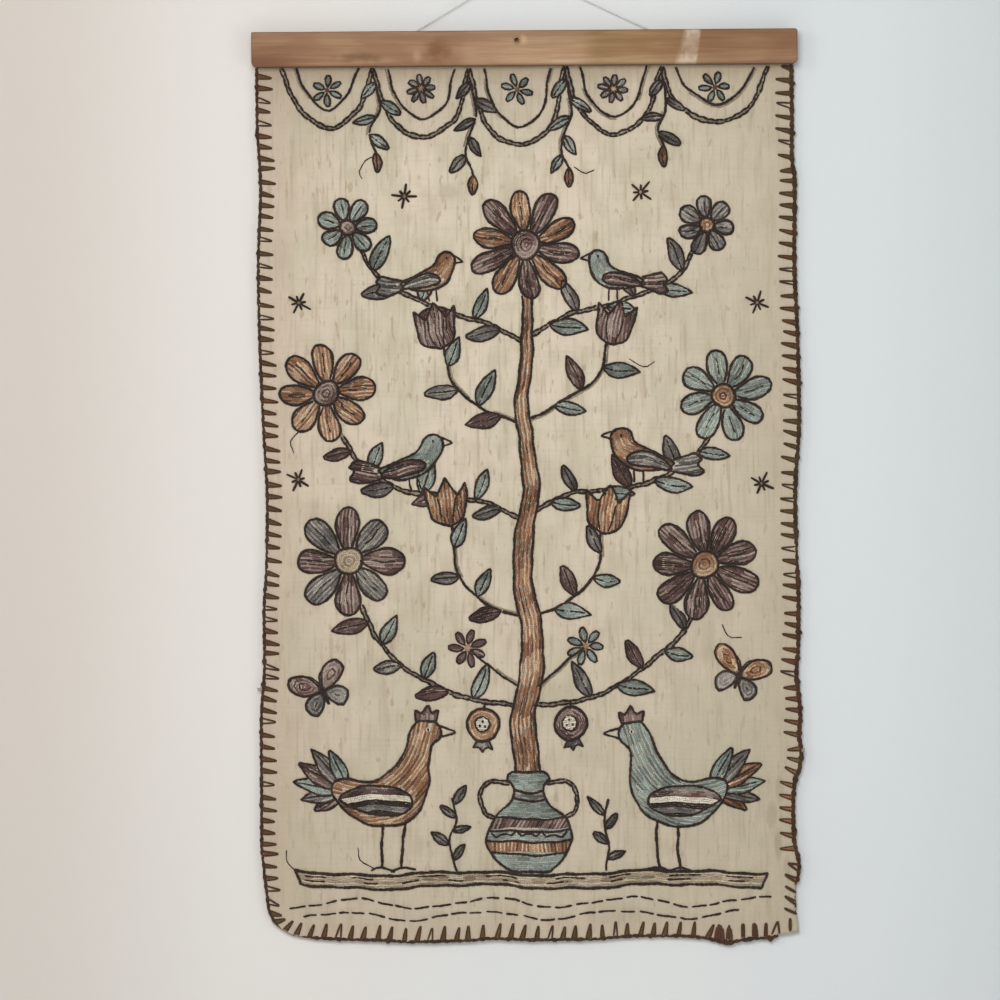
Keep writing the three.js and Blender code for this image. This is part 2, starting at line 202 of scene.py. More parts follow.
# Marks on the batten: x, down, width, height, strength, colour
WOOD_MARKS = [
    (-78, 75.5, 19, 17, 0.9, (116, 74, 49)),
    (-98, 80, 6, 12, 0.4, (190, 150, 122)),
    (-152, 81.5, 34, 7, 0.85, (108, 76, 50)),
    (3.6, 65.4, 5, 6.5, 0.4, (206, 174, 142)),
    (-2.7, 65.9, 6, 6, 0.8, (104, 72, 50)),
]
HOLE = (-2.7, 65.9, 6, 6)


def wood_material():
    """Bare softwood: straight grain along x, its tone changing from end to end, and a plaster smear."""
    s = Shade("bare_softwood", 0.62, specular=0.25)
    grain = s.noise((7, 60, 190), 5.0, 1.4)
    fine = s.noise((40, 300, 1500), 4.0)
    broad = s.noise((13, 12, 46), 3.0, 0.8)
    x, y, z = s.axes()
    colour = s.mix(s.level(grain, 0.3, 0.72), (136, 102, 74), (153, 120, 90))
    colour = s.mix(s.level(broad, 0.42, 0.66, 0.0, 0.5), colour, (128, 90, 66))
    middle = s.times(s.level(x, -0.064, -0.045), s.level(x, 0.052, 0.078, 1.0, 0.0))
    colour = s.tone(s.times(middle, s.level(z, -0.074, -0.06, 1.0, 0.3)), colour, (1.3, 1.44, 1.54))
    colour = s.tone(s.level(x, 0.052, 0.078), colour, (0.92, 0.95, 0.78))
    colour = s.tone(s.level(x, 0.13, 0.19), colour, (0.85, 0.77, 0.83))
    left = s.times(s.level(x, -0.25, -0.18, 1.0, 0.0), s.level(z, -0.086, -0.062, 1.0, 0.1))
    colour = s.tone(left, colour, (0.62, 0.48, 0.43))
    tilted = s.math("SUBTRACT", z, s.times(x, 0.037))
    low_band = s.times(s.level(tilted, -0.0874, -0.0846, 0.85, 0.0), s.level(x, 0.0, 0.07))
    colour = s.tone(s.times(low_band, s.level(x, 0.13, 0.19, 1.0, 0.8)), colour, (1.26, 1.39, 1.55))
    for *place, share, shade in WOOD_MARKS:
        colour = s.mix(s.times(s.patch(*place, core=0.0, uneven=0.16), share), colour, shade)
    smear_left = s.level(s.math("SUBTRACT", x, s.times(z, 0.3)), 0.1735, 0.18)
    smear_right = s.level(s.math("SUBTRACT", x, s.times(z, 0.13)), 0.1795, 0.1825, 1.0, 0.0)
    strength = s.plus(s.level(z, -0.068, -0.058, 0.26, 0.5), s.level(z, -0.084, -0.079, 0.2, 0.0))
    cloudy = s.level(s.noise((160, 100, 110), 3.0), 0.3, 0.62, 0.5, 1.15)
    smear = s.times(s.times(smear_left, smear_right), s.times(strength, cloudy))
    colour = s.mix(smear, colour, (216, 198, 178))
    # Painted light inside the hole, which its depth would leave dark
    in_hole = s.times(s.patch(*HOLE), s.level(y, -0.0188, -0.0183))
    colour = s.mix(in_hole, colour, (156, 116, 84))
    # Painted shade along the rounded ends and the top edge
    ends = s.larger(s.level(x, -0.257, -0.2556, 1.0, 0.0), s.level(x, 0.265, 0.2664))
    painted_edge_shade = s.larger(ends, s.level(z, -0.0578, -0.0566))
    colour = s.mix(s.times(painted_edge_shade, 0.55), colour, (88, 68, 58))
    # Painted shade along the lower edge
    colour = s.mix(s.level(z, -0.0905, -0.0865, 0.75, 0.0), colour, (100, 72, 50))
    height = s.plus(s.times(grain, 0.7), s.times(fine, 0.5))
    return s.finish(colour, height, 0.0005)


# Faint stains, and painted shadows in the folds near the bare corner: x, down, width, height, strength
STAINS_AND_FOLD_SHADOWS = [
    (-196, 228, 5, 26, 0.35), (176, 640, 9, 30, 0.22), (-70, 210, 14, 10, 0.3),
    (20, 700, 60, 26, 0.12), (205, 800, 12, 46, 0.18), (-150, 560, 40, 14, 0.14),
    (90, 905, 50, 14, 0.16), (245, 786, 6, 18, 0.42), (237, 811, 7, 18, 0.42),
    (243, 840, 5, 20, 0.55), (251, 861, 5, 15, 0.35), (215, 880, 5, 20, 0.3),
    (233, 894, 4, 24, 0.25),
]
STAIN_AND_SHADOW_COLOUR = (150, 138, 116)


def cloth_material():
    """Coarse unbleached plain weave with slubs down it, faded unevenly, with painted shadows under the
    batten and in folds, and painted light fall-off towards the bottom.
    """
    s = Shade("coarse_cloth", 0.95, specular=0.1, sheen=0.15)
    slubs = s.noise((300, 40, 24), 4.0)
    streaks = s.noise((95, 40, 15), 3.0)
    picks = s.noise((26, 40, 360), 3.0)
    cloud = s.noise((13, 9, 10), 3.0)
    small_cloud = s.noise((55, 36, 40), 4.0)
    flecks = s.noise((230, 40, 75), 2.0)
    x, _, z = s.axes()
    border = s.larger(s.level(x, -0.245, -0.205, 1.0, 0.0), s.level(x, 0.215, 0.258))
    border = s.larger(border, s.level(z, -0.925, -0.89, 1.0, 0.0))
    # Painted soft shadow of the batten on the cloth below it, weaker towards the right
    under_batten_shade = s.times(s.level(z, -0.19, -0.1, 0.0, 0.42), s.level(x, 0.04, 0.14, 1.0, 0.4))
    colour = s.coats(
        s.mix(s.level(cloud, 0.4, 0.6), (216, 202, 182), (207, 198, 175)),
        (s.level(small_cloud, 0.38, 0.7, 0.0, 0.5), (192, 178, 155)),
        (s.level(streaks, 0.52, 0.74, 0.0, 0.42), (184, 170, 147)),
        (s.level(streaks, 0.26, 0.44, 0.3, 0.0), (222, 209, 189)),
        (s.level(slubs, 0.5, 0.76, 0.0, 0.6), (170, 155, 132)),
        (s.level(slubs, 0.22, 0.42, 0.22, 0.0), (226, 214, 194)),
        (s.level(picks, 0.5, 0.78, 0.0, 0.2), (180, 165, 142)),
        (s.level(flecks, 0.62, 0.72, 0.0, 0.5), (160, 140, 110)),
        (s.times(border, 0.45), (201, 176, 159)),
        # Darker towards the bottom, partly fading and partly painted light fall-off
        (s.level(z, -0.93, -0.35, 0.38, 0.0), (166, 154, 132)),
        (s.level(x, 0.06, 0.25, 0.0, 0.4), (170, 162, 140)),
        (s.level(x, -0.25, -0.1, 0.24, 0.0), (178, 160, 138)),
        # Painted shadow of the batten, strongest on the cloth just under it, then its wider soft shadow
        (s.level(z, -0.112, -0.088, 0.0, 0.6), (150, 130, 108)),
        (under_batten_shade, (160, 146, 126)),
        # Stains, and painted shadows in the folds near the bare corner
        *((s.times(s.patch(*place), share), STAIN_AND_SHADOW_COLOUR) for *place, share in STAINS_AND_FOLD_SHADOWS),
    )
    weave = s.times(s.plus(s.bands("X", 0.0011, 1.5), s.bands("Z", 0.0012, 1.5)), 0.5)
    return s.finish(colour, s.plus(weave, s.times(slubs, 1.2)), 0.00045)


def yarn_material(name):
    """Spun wool that takes its colour from each stitch, with its twist across it."""
    s = Shade(name, 0.9, specular=0.15, sheen=0.2)
    dye = s.add("ShaderNodeAttribute", attribute_name="dye").outputs["Color"]
    strand = s.add("ShaderNodeAttribute", attribute_name="strand").outputs["Vector"]
    separate = s.add("ShaderNodeSeparateXYZ", {0: strand})
    lay = s.plus(separate.outputs[0], separate.outputs[1])
    twist = s.math("SINE", s.times(lay, 2 * math.pi))
    fuzz = s.noise((900, 900, 900), 3.0)
    # The twist darkens and lightens the colour across the yarn: painted shade between its plies; the fuzz
    # adds a random tone
    shade = s.plus(s.times(twist, 0.12), s.level(fuzz, 0.3, 0.7, 0.72, 1.2))
    grey = s.add("ShaderNodeCombineXYZ", {0: shade, 1: shade, 2: shade}).outputs[0]
    colour = s.mix(1.0, dye, grey, "MULTIPLY")
    height = s.plus(s.times(twist, 0.5), fuzz)
    return s.finish(colour, height, 0.0003)


def steel_material():
    s = Shade("dull_steel", 0.42, metallic=0.9)
    rust = s.noise((400, 400, 400), 4.0)
    return s.finish(s.mix(s.level(rust, 0.45, 0.7), (150, 147, 140), (112, 84, 62)), rust, 0.0002)


def cord_material():
    s = Shade("thin_cord", 0.85, specular=0.2)
    fibre = s.noise((700, 700, 700), 3.0)
    return s.finish(s.mix(s.level(fibre, 0.3, 0.7), (190, 188, 184), (216, 214, 209)), fibre, 0.0003)


# The hanging's outline and folds, as the solids have them

BATTEN_BOTTOM = 90.0
CLOTH_TOP = 73.3
CLOTH_THICKNESS = 1.6
HANG_BACK = -5.9
FLAT_BELOW_BATTEN = 12
FULL_WAVE_DEPTH = 70
ROUND_CORNER = {"x": -212.5, "down": 889.3, "radius": 36.5}
RIM_END = {"right_down": 906, "bottom_x": 244}

# The two sides: down, x
LEFT_EDGE = [
    (73.3, -253.9), (149, -253.7), (178, -251.9), (204, -250.9), (281, -253.6), (362, -252.5),
    (450, -248.9), (503, -246.6), (568, -247.6), (614, -250.5), (660, -250.4), (715, -253.9),
    (834, -254.4), (861, -252.2), (889.3, -249),
]
RIGHT_EDGE = [
    (73.3, 262.9), (134, 263.1), (179, 262.8), (201, 265.4), (278, 264.5), (347, 266.8),
    (422, 267.9), (447, 267.2), (480, 264.7), (508, 263.5), (566, 264.8), (600, 266.1),
    (652, 265.4), (674, 263.6), (701, 266.2), (717, 267.1), (734, 265.6), (750, 267.7),
    (766, 265.9), (779, 261.2), (801, 259.6), (835, 260.2), (847, 262.8), (859, 264.6),
    (869, 263.6), (880, 260.7), (905, 260.9), (922.8, 262.2),
]
# The lower edge: x, down
BOTTOM_EDGE = [
    (-212.5, 925.8), (-183, 928.1), (-135, 929.9), (-110, 931.3), (-54, 930.5), (-37, 928.7),
    (13, 930.4), (63, 929.9), (110, 927.2), (140, 927.4), (167, 929.1), (195, 933.8), (214, 931),
    (236, 929.8), (246, 926), (262.2, 922.8),
]
# x, down, width, height of the swell, how far it stands forward
SWELLS = [
    (-250, 505, 46, 130, 2.2),
    (-248, 760, 40, 90, -1.3),
    (-110, 300, 95, 150, 1.2),
    (60, 470, 110, 170, -1.1),
    (262, 440, 42, 90, 1.7),
    (264, 750, 24, 26, 2.2),
    (262, 860, 22, 22, 2.0),
    (-60, 900, 120, 60, 1.5),
    (170, 640, 80, 120, 1.0),
]
# x, down, to x, to down, width, how far it stands forward
CREASES = [
    (244, 777, 220, 836, 7.5, -1.5),
    (237, 830, 231, 898, 7.0, -1.4),
    (245, 858, 243, 906, 6.5, 1.3),
    (210, 868, 209, 898, 6.0, -0.9),
]
# Finer ones, in the same columns
FINE_CREASES = [
    (250, 768, 226, 832, 3.6, -0.9),
    (240, 826, 236, 884, 3.2, -0.8),
    (228, 850, 222, 900, 3.0, 0.6),
    (204, 868, 206, 906, 2.6, -0.5),
]


def along(table, place):
    """A smooth curve through a table's two columns."""
    x, y = np.array(table, float).T
    slope = np.diff(y) / np.diff(x)
    before, after = slope[:-1], slope[1:]
    agree = before * after > 0
    shared = np.where(agree, 2 * before * after / np.where(agree, before + after, 1), 0)
    tangent = np.concatenate([slope[:1], shared, slope[-1:]])
    i = np.clip(np.searchsorted(x, place, side="right") - 1, 0, len(x) - 2)
    span = x[i + 1] - x[i]
    s = np.clip((place - x[i]) / span, 0, 1)
    hold = (1 - s) ** 2 * (1 + 2 * s) * y[i] + s * s * (3 - 2 * s) * y[i + 1]
    return hold + span * (s * (1 - s) ** 2 * tangent[i] - s * s * (1 - s) * tangent[i + 1])


def creased(x, down, creases):
    """How far the creases bring the cloth forward."""
    height = np.zeros(np.shape(x))
    for x0, down0, x1, down1, width, forward in creases:
        run_x, run_down = x1 - x0, down1 - down0
        share = ((x - x0) * run_x + (down - down0) * run_down) / (run_x**2 + run_down**2)
        share = np.clip(share, 0, 1)
        off = np.hypot(x - x0 - share * run_x, down - down0 - share * run_down)
        height += forward * np.exp(-((off / width) ** 2))
    return height


def surface(x, down):
    """The middle of the cloth's thickness, as a place along y in millimetres."""
    height = np.zeros(np.shape(x))
    for at_x, at_down, wide, tall, forward in SWELLS:
        height += forward * np.exp(-(((x - at_x) / wide) ** 2) - ((down - at_down) / tall) ** 2)
    height += creased(x, down, CREASES)
    s = np.clip((down - BATTEN_BOTTOM - FLAT_BELOW_BATTEN) / FULL_WAVE_DEPTH, 0, 1)
    return HANG_BACK - height * s * s * (3 - 2 * s)


def ripple(x, down):
    """Small unevenness of the cloth between its stitches, in millimetres."""
    fade = np.clip((down - BATTEN_BOTTOM - 6) / 40, 0, 1)
    wave = np.sin(x / 11 + 2 * np.sin(down / 57)) * np.sin(down / 37 + x / 61)
    small = np.sin(x / 4.3 + down / 19) * np.sin(down / 8.1 - x / 23)
    tall = np.sin(x / 5.1 + 1.7 * np.sin(down / 41)) * np.sin(down / 29 + x / 47)
    return fade * (0.3 * wave + 0.13 * small + 0.2 * tall) - creased(x, down, FINE_CREASES)


def front_face(x, down):
    return surface(x, down) + ripple(x, down) - CLOTH_THICKNESS / 2


CORNER_ARC = ROUND_CORNER["radius"] * math.pi / 2
LEFT_RUN = ROUND_CORNER["down"] - CLOTH_TOP
RIGHT_RUN = RIGHT_EDGE[-1][0] - CLOTH_TOP
BOTTOM_RUN = BOTTOM_EDGE[-1][0] - ROUND_CORNER["x"]


def left_or_bottom(distance):
    """The outline from the cloth's top left down, round the corner and along the bottom."""
    corner = ROUND_CORNER
    angle = np.clip((distance - LEFT_RUN) / corner["radius"], 0, math.pi / 2)
    centre = np.array([corner["x"], corner["down"]])
    arc = centre + corner["radius"] * np.stack([-np.cos(angle), np.sin(angle)], -1)
    side_down = CLOTH_TOP + np.minimum(distance, LEFT_RUN)
    side = np.stack([along(LEFT_EDGE, side_down), side_down], -1)
    bottom_x = corner["x"] + np.maximum(distance - LEFT_RUN - CORNER_ARC, 0)
    bottom = np.stack([bottom_x, along(BOTTOM_EDGE, bottom_x)], -1)
    on_side = (distance <= LEFT_RUN)[:, None]
    on_arc = (distance <= LEFT_RUN + CORNER_ARC)[:, None]
    return np.where(on_side, side, np.where(on_arc, arc, bottom))


def right_side(distance):
    """The outline from the cloth's top right down."""
    down = CLOTH_TOP + distance
    return np.stack([along(RIGHT_EDGE, down), down], -1)


def units(steps):
    """Steps brought to a length of 1."""
    return steps / np.maximum(np.linalg.norm(steps, axis=-1, keepdims=True), 1e-9)


def sideways(unit):
    """Unit steps turned square to themselves."""
    return np.stack([-unit[:, 1], unit[:, 0]], -1)


def headings(path):
    """The unit step along a path at each of its points."""
    return units(np.gradient(np.asarray(path, float), axis=0))


def distances(path):
    """How far along a path each of its points lies."""
    return np.concatenate([[0], np.cumsum(np.linalg.norm(np.diff(path, axis=0), axis=1))])


def inwards(points, turn):
    """Unit vectors square to a line of points, to its left (turn 1) or right (turn -1)."""
    return -turn * sideways(headings(points))


# Meshes


def make_mesh(name, points, quads, material, attributes=None):
    """A smooth mesh object from points in millimetres and faces of four corners."""
    mesh = bpy.data.meshes.new(name)
    mesh.from_pydata((np.asarray(points) * MM).tolist(), [], np.asarray(quads).tolist())
    mesh.polygons.foreach_set("use_smooth", np.ones(len(mesh.polygons), bool))
    for key, (kind, field, values) in (attributes or {}).items():
        layer = mesh.attributes.new(key, kind, "POINT")
        layer.data.foreach_set(field, np.ascontiguousarray(values, np.float32).ravel())
    mesh.materials.append(material)
    piece = bpy.data.objects.new(name, mesh)
    bpy.context.scene.collection.objects.link(piece)
    return piece


def grid_quads(rows, columns):
    i, j = np.meshgrid(np.arange(rows - 1), np.arange(columns - 1), indexing="ij")
    a = (i * columns + j).ravel()
    return np.stack([a, a + columns, a + columns + 1, a + 1], 1)


# The faces that close the first and the last ring of a tube, by its number of sides
TUBE_ENDS = {
    6: ([(0, 3, 2, 1), (0, 5, 4, 3)], [(0, 1, 2, 3), (0, 3, 4, 5)]),
    8: ([(0, 1, 2, 3), (0, 3, 4, 7), (4, 5, 6, 7)],) * 2,
}


def tube_quads(rings, sides):
    """The faces of a closed tube whose points lie ring after ring."""
    ring = np.arange(sides)
    following = (ring + 1) % sides
    wall = np.stack([ring, following, following + sides, ring + sides], 1)
    first, last = (np.array(end) for end in TUBE_ENDS[sides])
    walls = [wall + i * sides for i in range(rings - 1)]
    return np.concatenate([*walls, first, last + (rings - 1) * sides])


def yarn_mesh(name, points, quads, material, colour, strand):
    """A mesh that carries the wool's colour and its place along the yarn at every point."""
    dye = np.column_stack([colour, np.ones(len(colour))])
    attributes = {
        "dye": ("FLOAT_COLOR", "color", dye),
        "strand": ("FLOAT_VECTOR", "vector", strand),
    }
    return make_mesh(name, points, quads, material, attributes)


CLOTH_ROWS = 230
CLOTH_COLUMNS = 140
CLOTH_INSET = 1.5
# How far past the rim's end the cloth is out of the yarn, and over what length it comes out
OUT_PAST_END = 3
OUT_OVER = 4


def tucked(edge, turn, place, end):
    """An edge moved into the yarn that binds it, up to the place where the rim ends."""
    bound = np.clip((end + OUT_PAST_END - place) / OUT_OVER, 0, 1)
    return edge + inwards(edge, turn) * (CLOTH_INSET * bound)[:, None]


def make_cloth(material):
    """One sheet between its four edges, its rim tucked inside the yarn that binds it."""
    t = np.linspace(0, 1, CLOTH_ROWS)
    s = np.linspace(0, 1, CLOTH_COLUMNS)
    left = left_or_bottom(t * (LEFT_RUN + CORNER_ARC / 2))
    right = right_side(t * RIGHT_RUN)
    bottom = left_or_bottom(LEFT_RUN + CORNER_ARC / 2 + s * (CORNER_ARC / 2 + BOTTOM_RUN))
    left = left + inwards(left, 1) * CLOTH_INSET
    right = tucked(right, -1, right[:, 1], RIM_END["right_down"])
    bottom = tucked(bottom, 1, bottom[:, 0], RIM_END["bottom_x"])
    bottom[0], bottom[-1] = left[-1], right[-1]
    across, downwards = s[None, :, None], t[:, None, None]
    flat = left[:, None] * (1 - across) + right[:, None] * across
    low = left[-1] + s[:, None] * (right[-1] - left[-1])
    flat = flat + downwards * (bottom - low)[None]
    x, down = flat[..., 0].ravel(), flat[..., 1].ravel()
    middle = surface(x, down) + ripple(x, down)
    half = CLOTH_THICKNESS / 2
    front = np.stack([x, middle - half, -down], 1)
    back = np.stack([x, middle + half, -down], 1)
    count = len(x)
    faces = grid_quads(CLOTH_ROWS, CLOTH_COLUMNS)
    index = np.arange(count).reshape(CLOTH_ROWS, CLOTH_COLUMNS)
    loop = np.concatenate([index[:, 0], index[-1, 1:], index[-2::-1, -1], index[0, -2:0:-1]])
    following = np.roll(loop, -1)
    rim = np.stack([loop, loop + count, following + count, following], 1)
    quads = np.concatenate([faces, faces[:, ::-1] + count, rim])
    return make_mesh("cloth_sheet", np.concatenate([front, back]), quads, material)


# Needlework: every stitch is a short yarn on the cloth

# sRGB shades of each thread, darkest first
THREADS = {
    "dark": [(34, 23, 17), (46, 33, 25), (64, 49, 38)],
    "core": [(96, 84, 72), (126, 113, 97), (156, 143, 124)],
    "blue_grey": [(84, 92, 85), (138, 147, 138), (172, 179, 168)],
    "grey": [(66, 61, 58), (116, 110, 105), (172, 165, 155)],
    "rust": [(84, 54, 35), (146, 104, 74), (204, 176, 146)],
    "plum": [(52, 33, 28), (98, 71, 66), (170, 151, 141)],
    "tan": [(122, 103, 82), (164, 147, 122), (194, 179, 154)],
    "cream": [(190, 181, 162), (212, 204, 186), (226, 220, 205)],
}
# share along, size of the section, rise above the cloth
LINE_PROFILE = np.array(
    [(0, 0.55, -0.25), (0.14, 0.9, 0.26), (0.5, 1, 0.46), (0.86, 0.9, 0.26), (1, 0.55, -0.25)]
)
FILL_PROFILE = np.array([(0, 0.55, 0.0), (0.2, 0.97, 0.34), (0.8, 0.97, 0.34), (1, 0.55, 0.0)])
TWISTS_PER_MM = 0.45
# How far the paler strand lies beside its dark line
PALE_OFFSET = 2.3
# How much darker a filled part is at its outline
SHADE_AT_EDGE = 0.3
# Rows shorter than this are left out
SHORTEST_ROW = 1.2

sewn = {name: [] for name in THREADS}


def shake(points):
    """The hand's unsteadiness: every point of the design moves a little, neighbours together."""
    x, down = points[:, 0], points[:, 1]
    return points + np.stack(
        [
            0.9 * np.sin(down / 9.7 + np.sin(x / 13)) + 0.5 * np.sin(down / 4.1 + x / 7.7),
            0.9 * np.sin(x / 10.9 + np.sin(down / 15)) + 0.5 * np.sin(x / 4.6 - down / 8.9),
        ],
        1,
    )


def drift(points):
    """How the dye of one thread wanders over the cloth, from about -0.5 to 0.5."""
    x, down = points[:, 0], points[:, 1]
    slow = np.sin(x / 15 + 2 * np.sin(down / 21)) * np.sin(down / 13 - x / 29)
    return 0.35 * slow + 0.2 * np.sin(x / 5.3 + down / 7.1)


def sew(thread, starts, ends, width=2.0, lift=0.0, tone=0.5, spread=0.5):
    """Adds stitches from starts to ends. tone picks the shade, 0 dark to 1 light."""
    starts, ends = shake(np.asarray(starts, float)), shake(np.asarray(ends, float))
    count = len(starts)
    if not count:
        return
    shades = linear(THREADS[thread])
    uneven = drift(starts) + 0.5 * (rng.random(count) - 0.5)
    pick = np.clip(tone + spread * uneven, 0, 0.999) * 2
    low = pick.astype(int)
    colour = shades[low] + (pick - low)[:, None] * (shades[low + 1] - shades[low])
    widths = width * rng.uniform(0.8, 1.2, count)
    lifts = np.full(count, lift) + rng.uniform(0, 0.08, count)
    sewn[thread].append(np.column_stack([starts, ends, widths, lifts, colour]))


def resample(path, step):
    """Points at even steps along a path, keeping its ends."""
    path = np.asarray(path, float)
    run = distances(path)
    count = max(2, int(round(run[-1] / step)) + 1)
    at = np.linspace(0, run[-1], count)
    return np.stack([np.interp(at, run, path[:, k]) for k in (0, 1)], 1)


def curve(points, closed=False, step=1.5):
    """A smooth line through a few points."""
    p = np.asarray(points, float)
    if closed:
        p = np.concatenate([p[-1:], p, p[:2]])
    else:
        p = np.concatenate([2 * p[:1] - p[1:2], p, 2 * p[-1:] - p[-2:-1]])
    t = np.linspace(0, 1, 12, endpoint=False)[:, None]
    parts = []
    for a, b, c, d in zip(p, p[1:], p[2:], p[3:]):
        bend = (2 * a - 5 * b + 4 * c - d) * t**2 + (3 * b - a - 3 * c + d) * t**3
        parts.append(0.5 * (2 * b + (c - a) * t + bend))
    parts.append(p[-2:-1])
    return resample(np.concatenate(parts), step)


def beside(path, offset):
    """The path moved sideways by an offset, which may change along it."""
    return path + sideways(headings(path)) * np.reshape(offset, (-1, 1))


def stretches(flags):
    """Where each unbroken run of flags starts and ends."""
    edges = np.flatnonzero(np.diff(np.concatenate([[0], flags, [0]])))
    return zip(edges[::2], edges[1::2])


def inside(points, outline):
    """Whether each point lies inside a closed outline."""
    x, y = points[:, :1], points[:, 1:]
    a, b = outline, np.roll(outline, -1, 0)
    over = (a[:, 1] <= y) != (b[:, 1] <= y)
    rise = np.where(b[:, 1] == a[:, 1], 1, b[:, 1] - a[:, 1])
    cross = a[:, 0] + (y - a[:, 1]) / rise * (b[:, 0] - a[:, 0])
    return ((over & (x < cross)).sum(1) % 2).astype(bool)


def clear(outline):
    """Unpicks what is already sewn inside an outline, so that a motif can lie over it."""
    edge = shake(np.asarray(outline, float))
    for thread, batches in sewn.items():
        kept = []
        for rows in batches:
            middle = (rows[:, 0:2] + rows[:, 2:4]) / 2
            rows = rows[~inside(middle, edge)]
            if len(rows):
                kept.append(rows)
        sewn[thread] = kept


def stem(path, thread="dark", width=2.65, length=5.0, lift=0.35, closed=False, **look):
    """A line of back stitches that overlap a little."""
    path = np.asarray(path, float)
    if closed:
        path = np.concatenate([path, path[:1]])
    points = resample(path, length)
    unit = units(np.diff(points, axis=0))
    side = sideways(unit) * rng.uniform(-0.3, 0.3, (len(unit), 1))
    sew(thread, points[:-1] - unit * 0.8 + side, points[1:] + unit * 0.8 - side, width, lift, **look)


def shadowed(path, width=2.7):
    """A dark line with a paler strand that comes and goes beside it."""
    points = resample(path, 1.5)
    pale = beside(points, PALE_OFFSET)
    here = np.sin(points[:, 1] / 13 + points[:, 0] / 17) > -0.35
    for a, b in stretches(here):
        if b - a > 4:
            stem(pale[a:b], "core", 1.7, 6, 0.0, tone=0.75)
    stem(path, width=width)


def running(path, width=2.1, length=14.0, gap=3.4):
    """A dashed line of running stitches, each one bent with the path."""
    points = resample(path, 1.0)
    at = 0
    while at < len(points) - 4:
        dash = int(round(length * rng.uniform(0.7, 1.3)))
        stem(points[at : at + dash], width=width)
        at += dash + int(round(gap * rng.uniform(0.7, 1.4)))


def chain(path, width=6.0, loop=9.0):
    """Chain stitch: open loops in dark yarn over a lighter grey-brown line."""
    for offset in (-0.1, 0.1):
        stem(beside(path, offset * width), "core", width * 0.36, 6.0, 0.0, tone=0.5)
    points = resample(path, loop)
    for a, b in zip(points, points[1:]):
        unit = units(b - a)
        for hand in (-1, 1):
            swell = hand * (width / 2 - 1.0) * rng.uniform(0.65, 1.15)
            out = np.array([-unit[1], unit[0]]) * swell
            corners = np.array([a + out * 0.5, a * 0.55 + b * 0.45 + out, b + out * 0.6])
            sew("dark", corners[:-1] - unit * 0.5, corners[1:] + unit * 0.5, 2.3, 0.4, 0.4)


def hatch(outline, turn, pitch):
    """The straight runs, turn degrees from level, that fill an outline, with their row numbers."""
    c, s = math.cos(math.radians(turn)), math.sin(math.radians(turn))
    spin = np.array([[c, s], [-s, c]])
    turned = outline @ spin
    a, b = turned, np.roll(turned, -1, 0)
    runs = []
    rows = np.arange(turned[:, 1].min() + pitch * 0.6, turned[:, 1].max(), pitch)
    for k, y in enumerate(rows):
        over = (a[:, 1] <= y) != (b[:, 1] <= y)
        rise = (b - a)[over]
        x = np.sort(a[over, 0] + (y - a[over, 1]) / rise[:, 1] * rise[:, 0])
        for x0, x1 in zip(x[::2], x[1::2]):
            runs.append((k, np.array([(x0 + 0.4, y), (x1 - 0.4, y)]) @ spin.T))
    return runs


def follow(outline, guide, pitch):
    """The runs beside a guide line that lie inside an outline, with their row numbers."""
    guide = resample(guide, 1.2)
    reach = int(np.ptp(outline, axis=0).max() / pitch) + 1
    runs = []
    for k in range(-reach, reach + 1):
        path = beside(guide, k * pitch)
        kept = inside(path, outline)
        runs += [(k, path[a:b]) for a, b in stretches(kept) if b - a > 2]
    return runs


def contours(outline, pitch):
    """Rings inside an outline, each a smaller copy of it, with their row numbers."""
    centre = outline.mean(0)
    reach = np.linalg.norm(outline - centre, axis=1).mean()
    shares = np.arange(1 - 0.55 * pitch / reach, 0.08, -pitch / reach)
    closed = np.concatenate([outline, outline[:1]])
    return [(k, centre + (closed - centre) * share) for k, share in enumerate(shares)]


# The shades of neighbouring rows: even, streaked, or strongly striped
EVEN = (0.5, 0.6, 0.45)
STREAKED = (0.3, 0.85, 0.5, 0.7, 0.2, 0.6)
STRIPED = (0.05, 0.95, 0.4, 0.75, 0.15)


def fill(outline, thread, turn=90.0, pitch=1.7, length=7.5, width=1.9, **look):
    """Rows of stitches inside an outline, darker near it."""
    outline = np.asarray(outline, float)
    guide, tones = look.pop("guide", None), look.pop("tones", EVEN)
    if look.pop("rings", False):
        runs = contours(outline, pitch)
    elif guide is not None:
        runs = follow(outline, guide, pitch)
    else:
        runs = hatch(outline, turn, pitch)
    look.setdefault("spread", 0.75)
    starts, ends, levels = [], [], []
    for k, path in runs:
        total = distances(path)[-1]
        if total < SHORTEST_ROW:
            continue
        points = resample(path, min(length * rng.uniform(0.8, 1.25), total))
        unit = units(np.diff(points, axis=0))
        starts.append(points[:-1] - unit * 0.35)
        ends.append(points[1:] + unit * 0.35)
        levels.append(np.full(len(unit), tones[k % len(tones)]))
    if not starts:
        return
    starts, ends, levels = np.concatenate(starts), np.concatenate(ends), np.concatenate(levels)
    edge = resample(np.concatenate([outline, outline[:1]]), 2.0)
    off = np.linalg.norm(((starts + ends) / 2)[:, None] - edge[None], axis=2).min(1)
    levels = levels - SHADE_AT_EDGE * np.exp(-((off / 2.8) ** 2))
    sew(thread, starts, ends, width, 0.08, levels, **look)


def knot(at, size, thread="dark", lift=0.3, **look):
    """A French knot: a short fat stitch."""
    at = np.asarray(at, float)
    sew(thread, [at - (size * 0.4, 0)], [at + (size * 0.4, 0)], size, lift, **look)


# Motifs, each drawn with x to the right and y up from its own foot


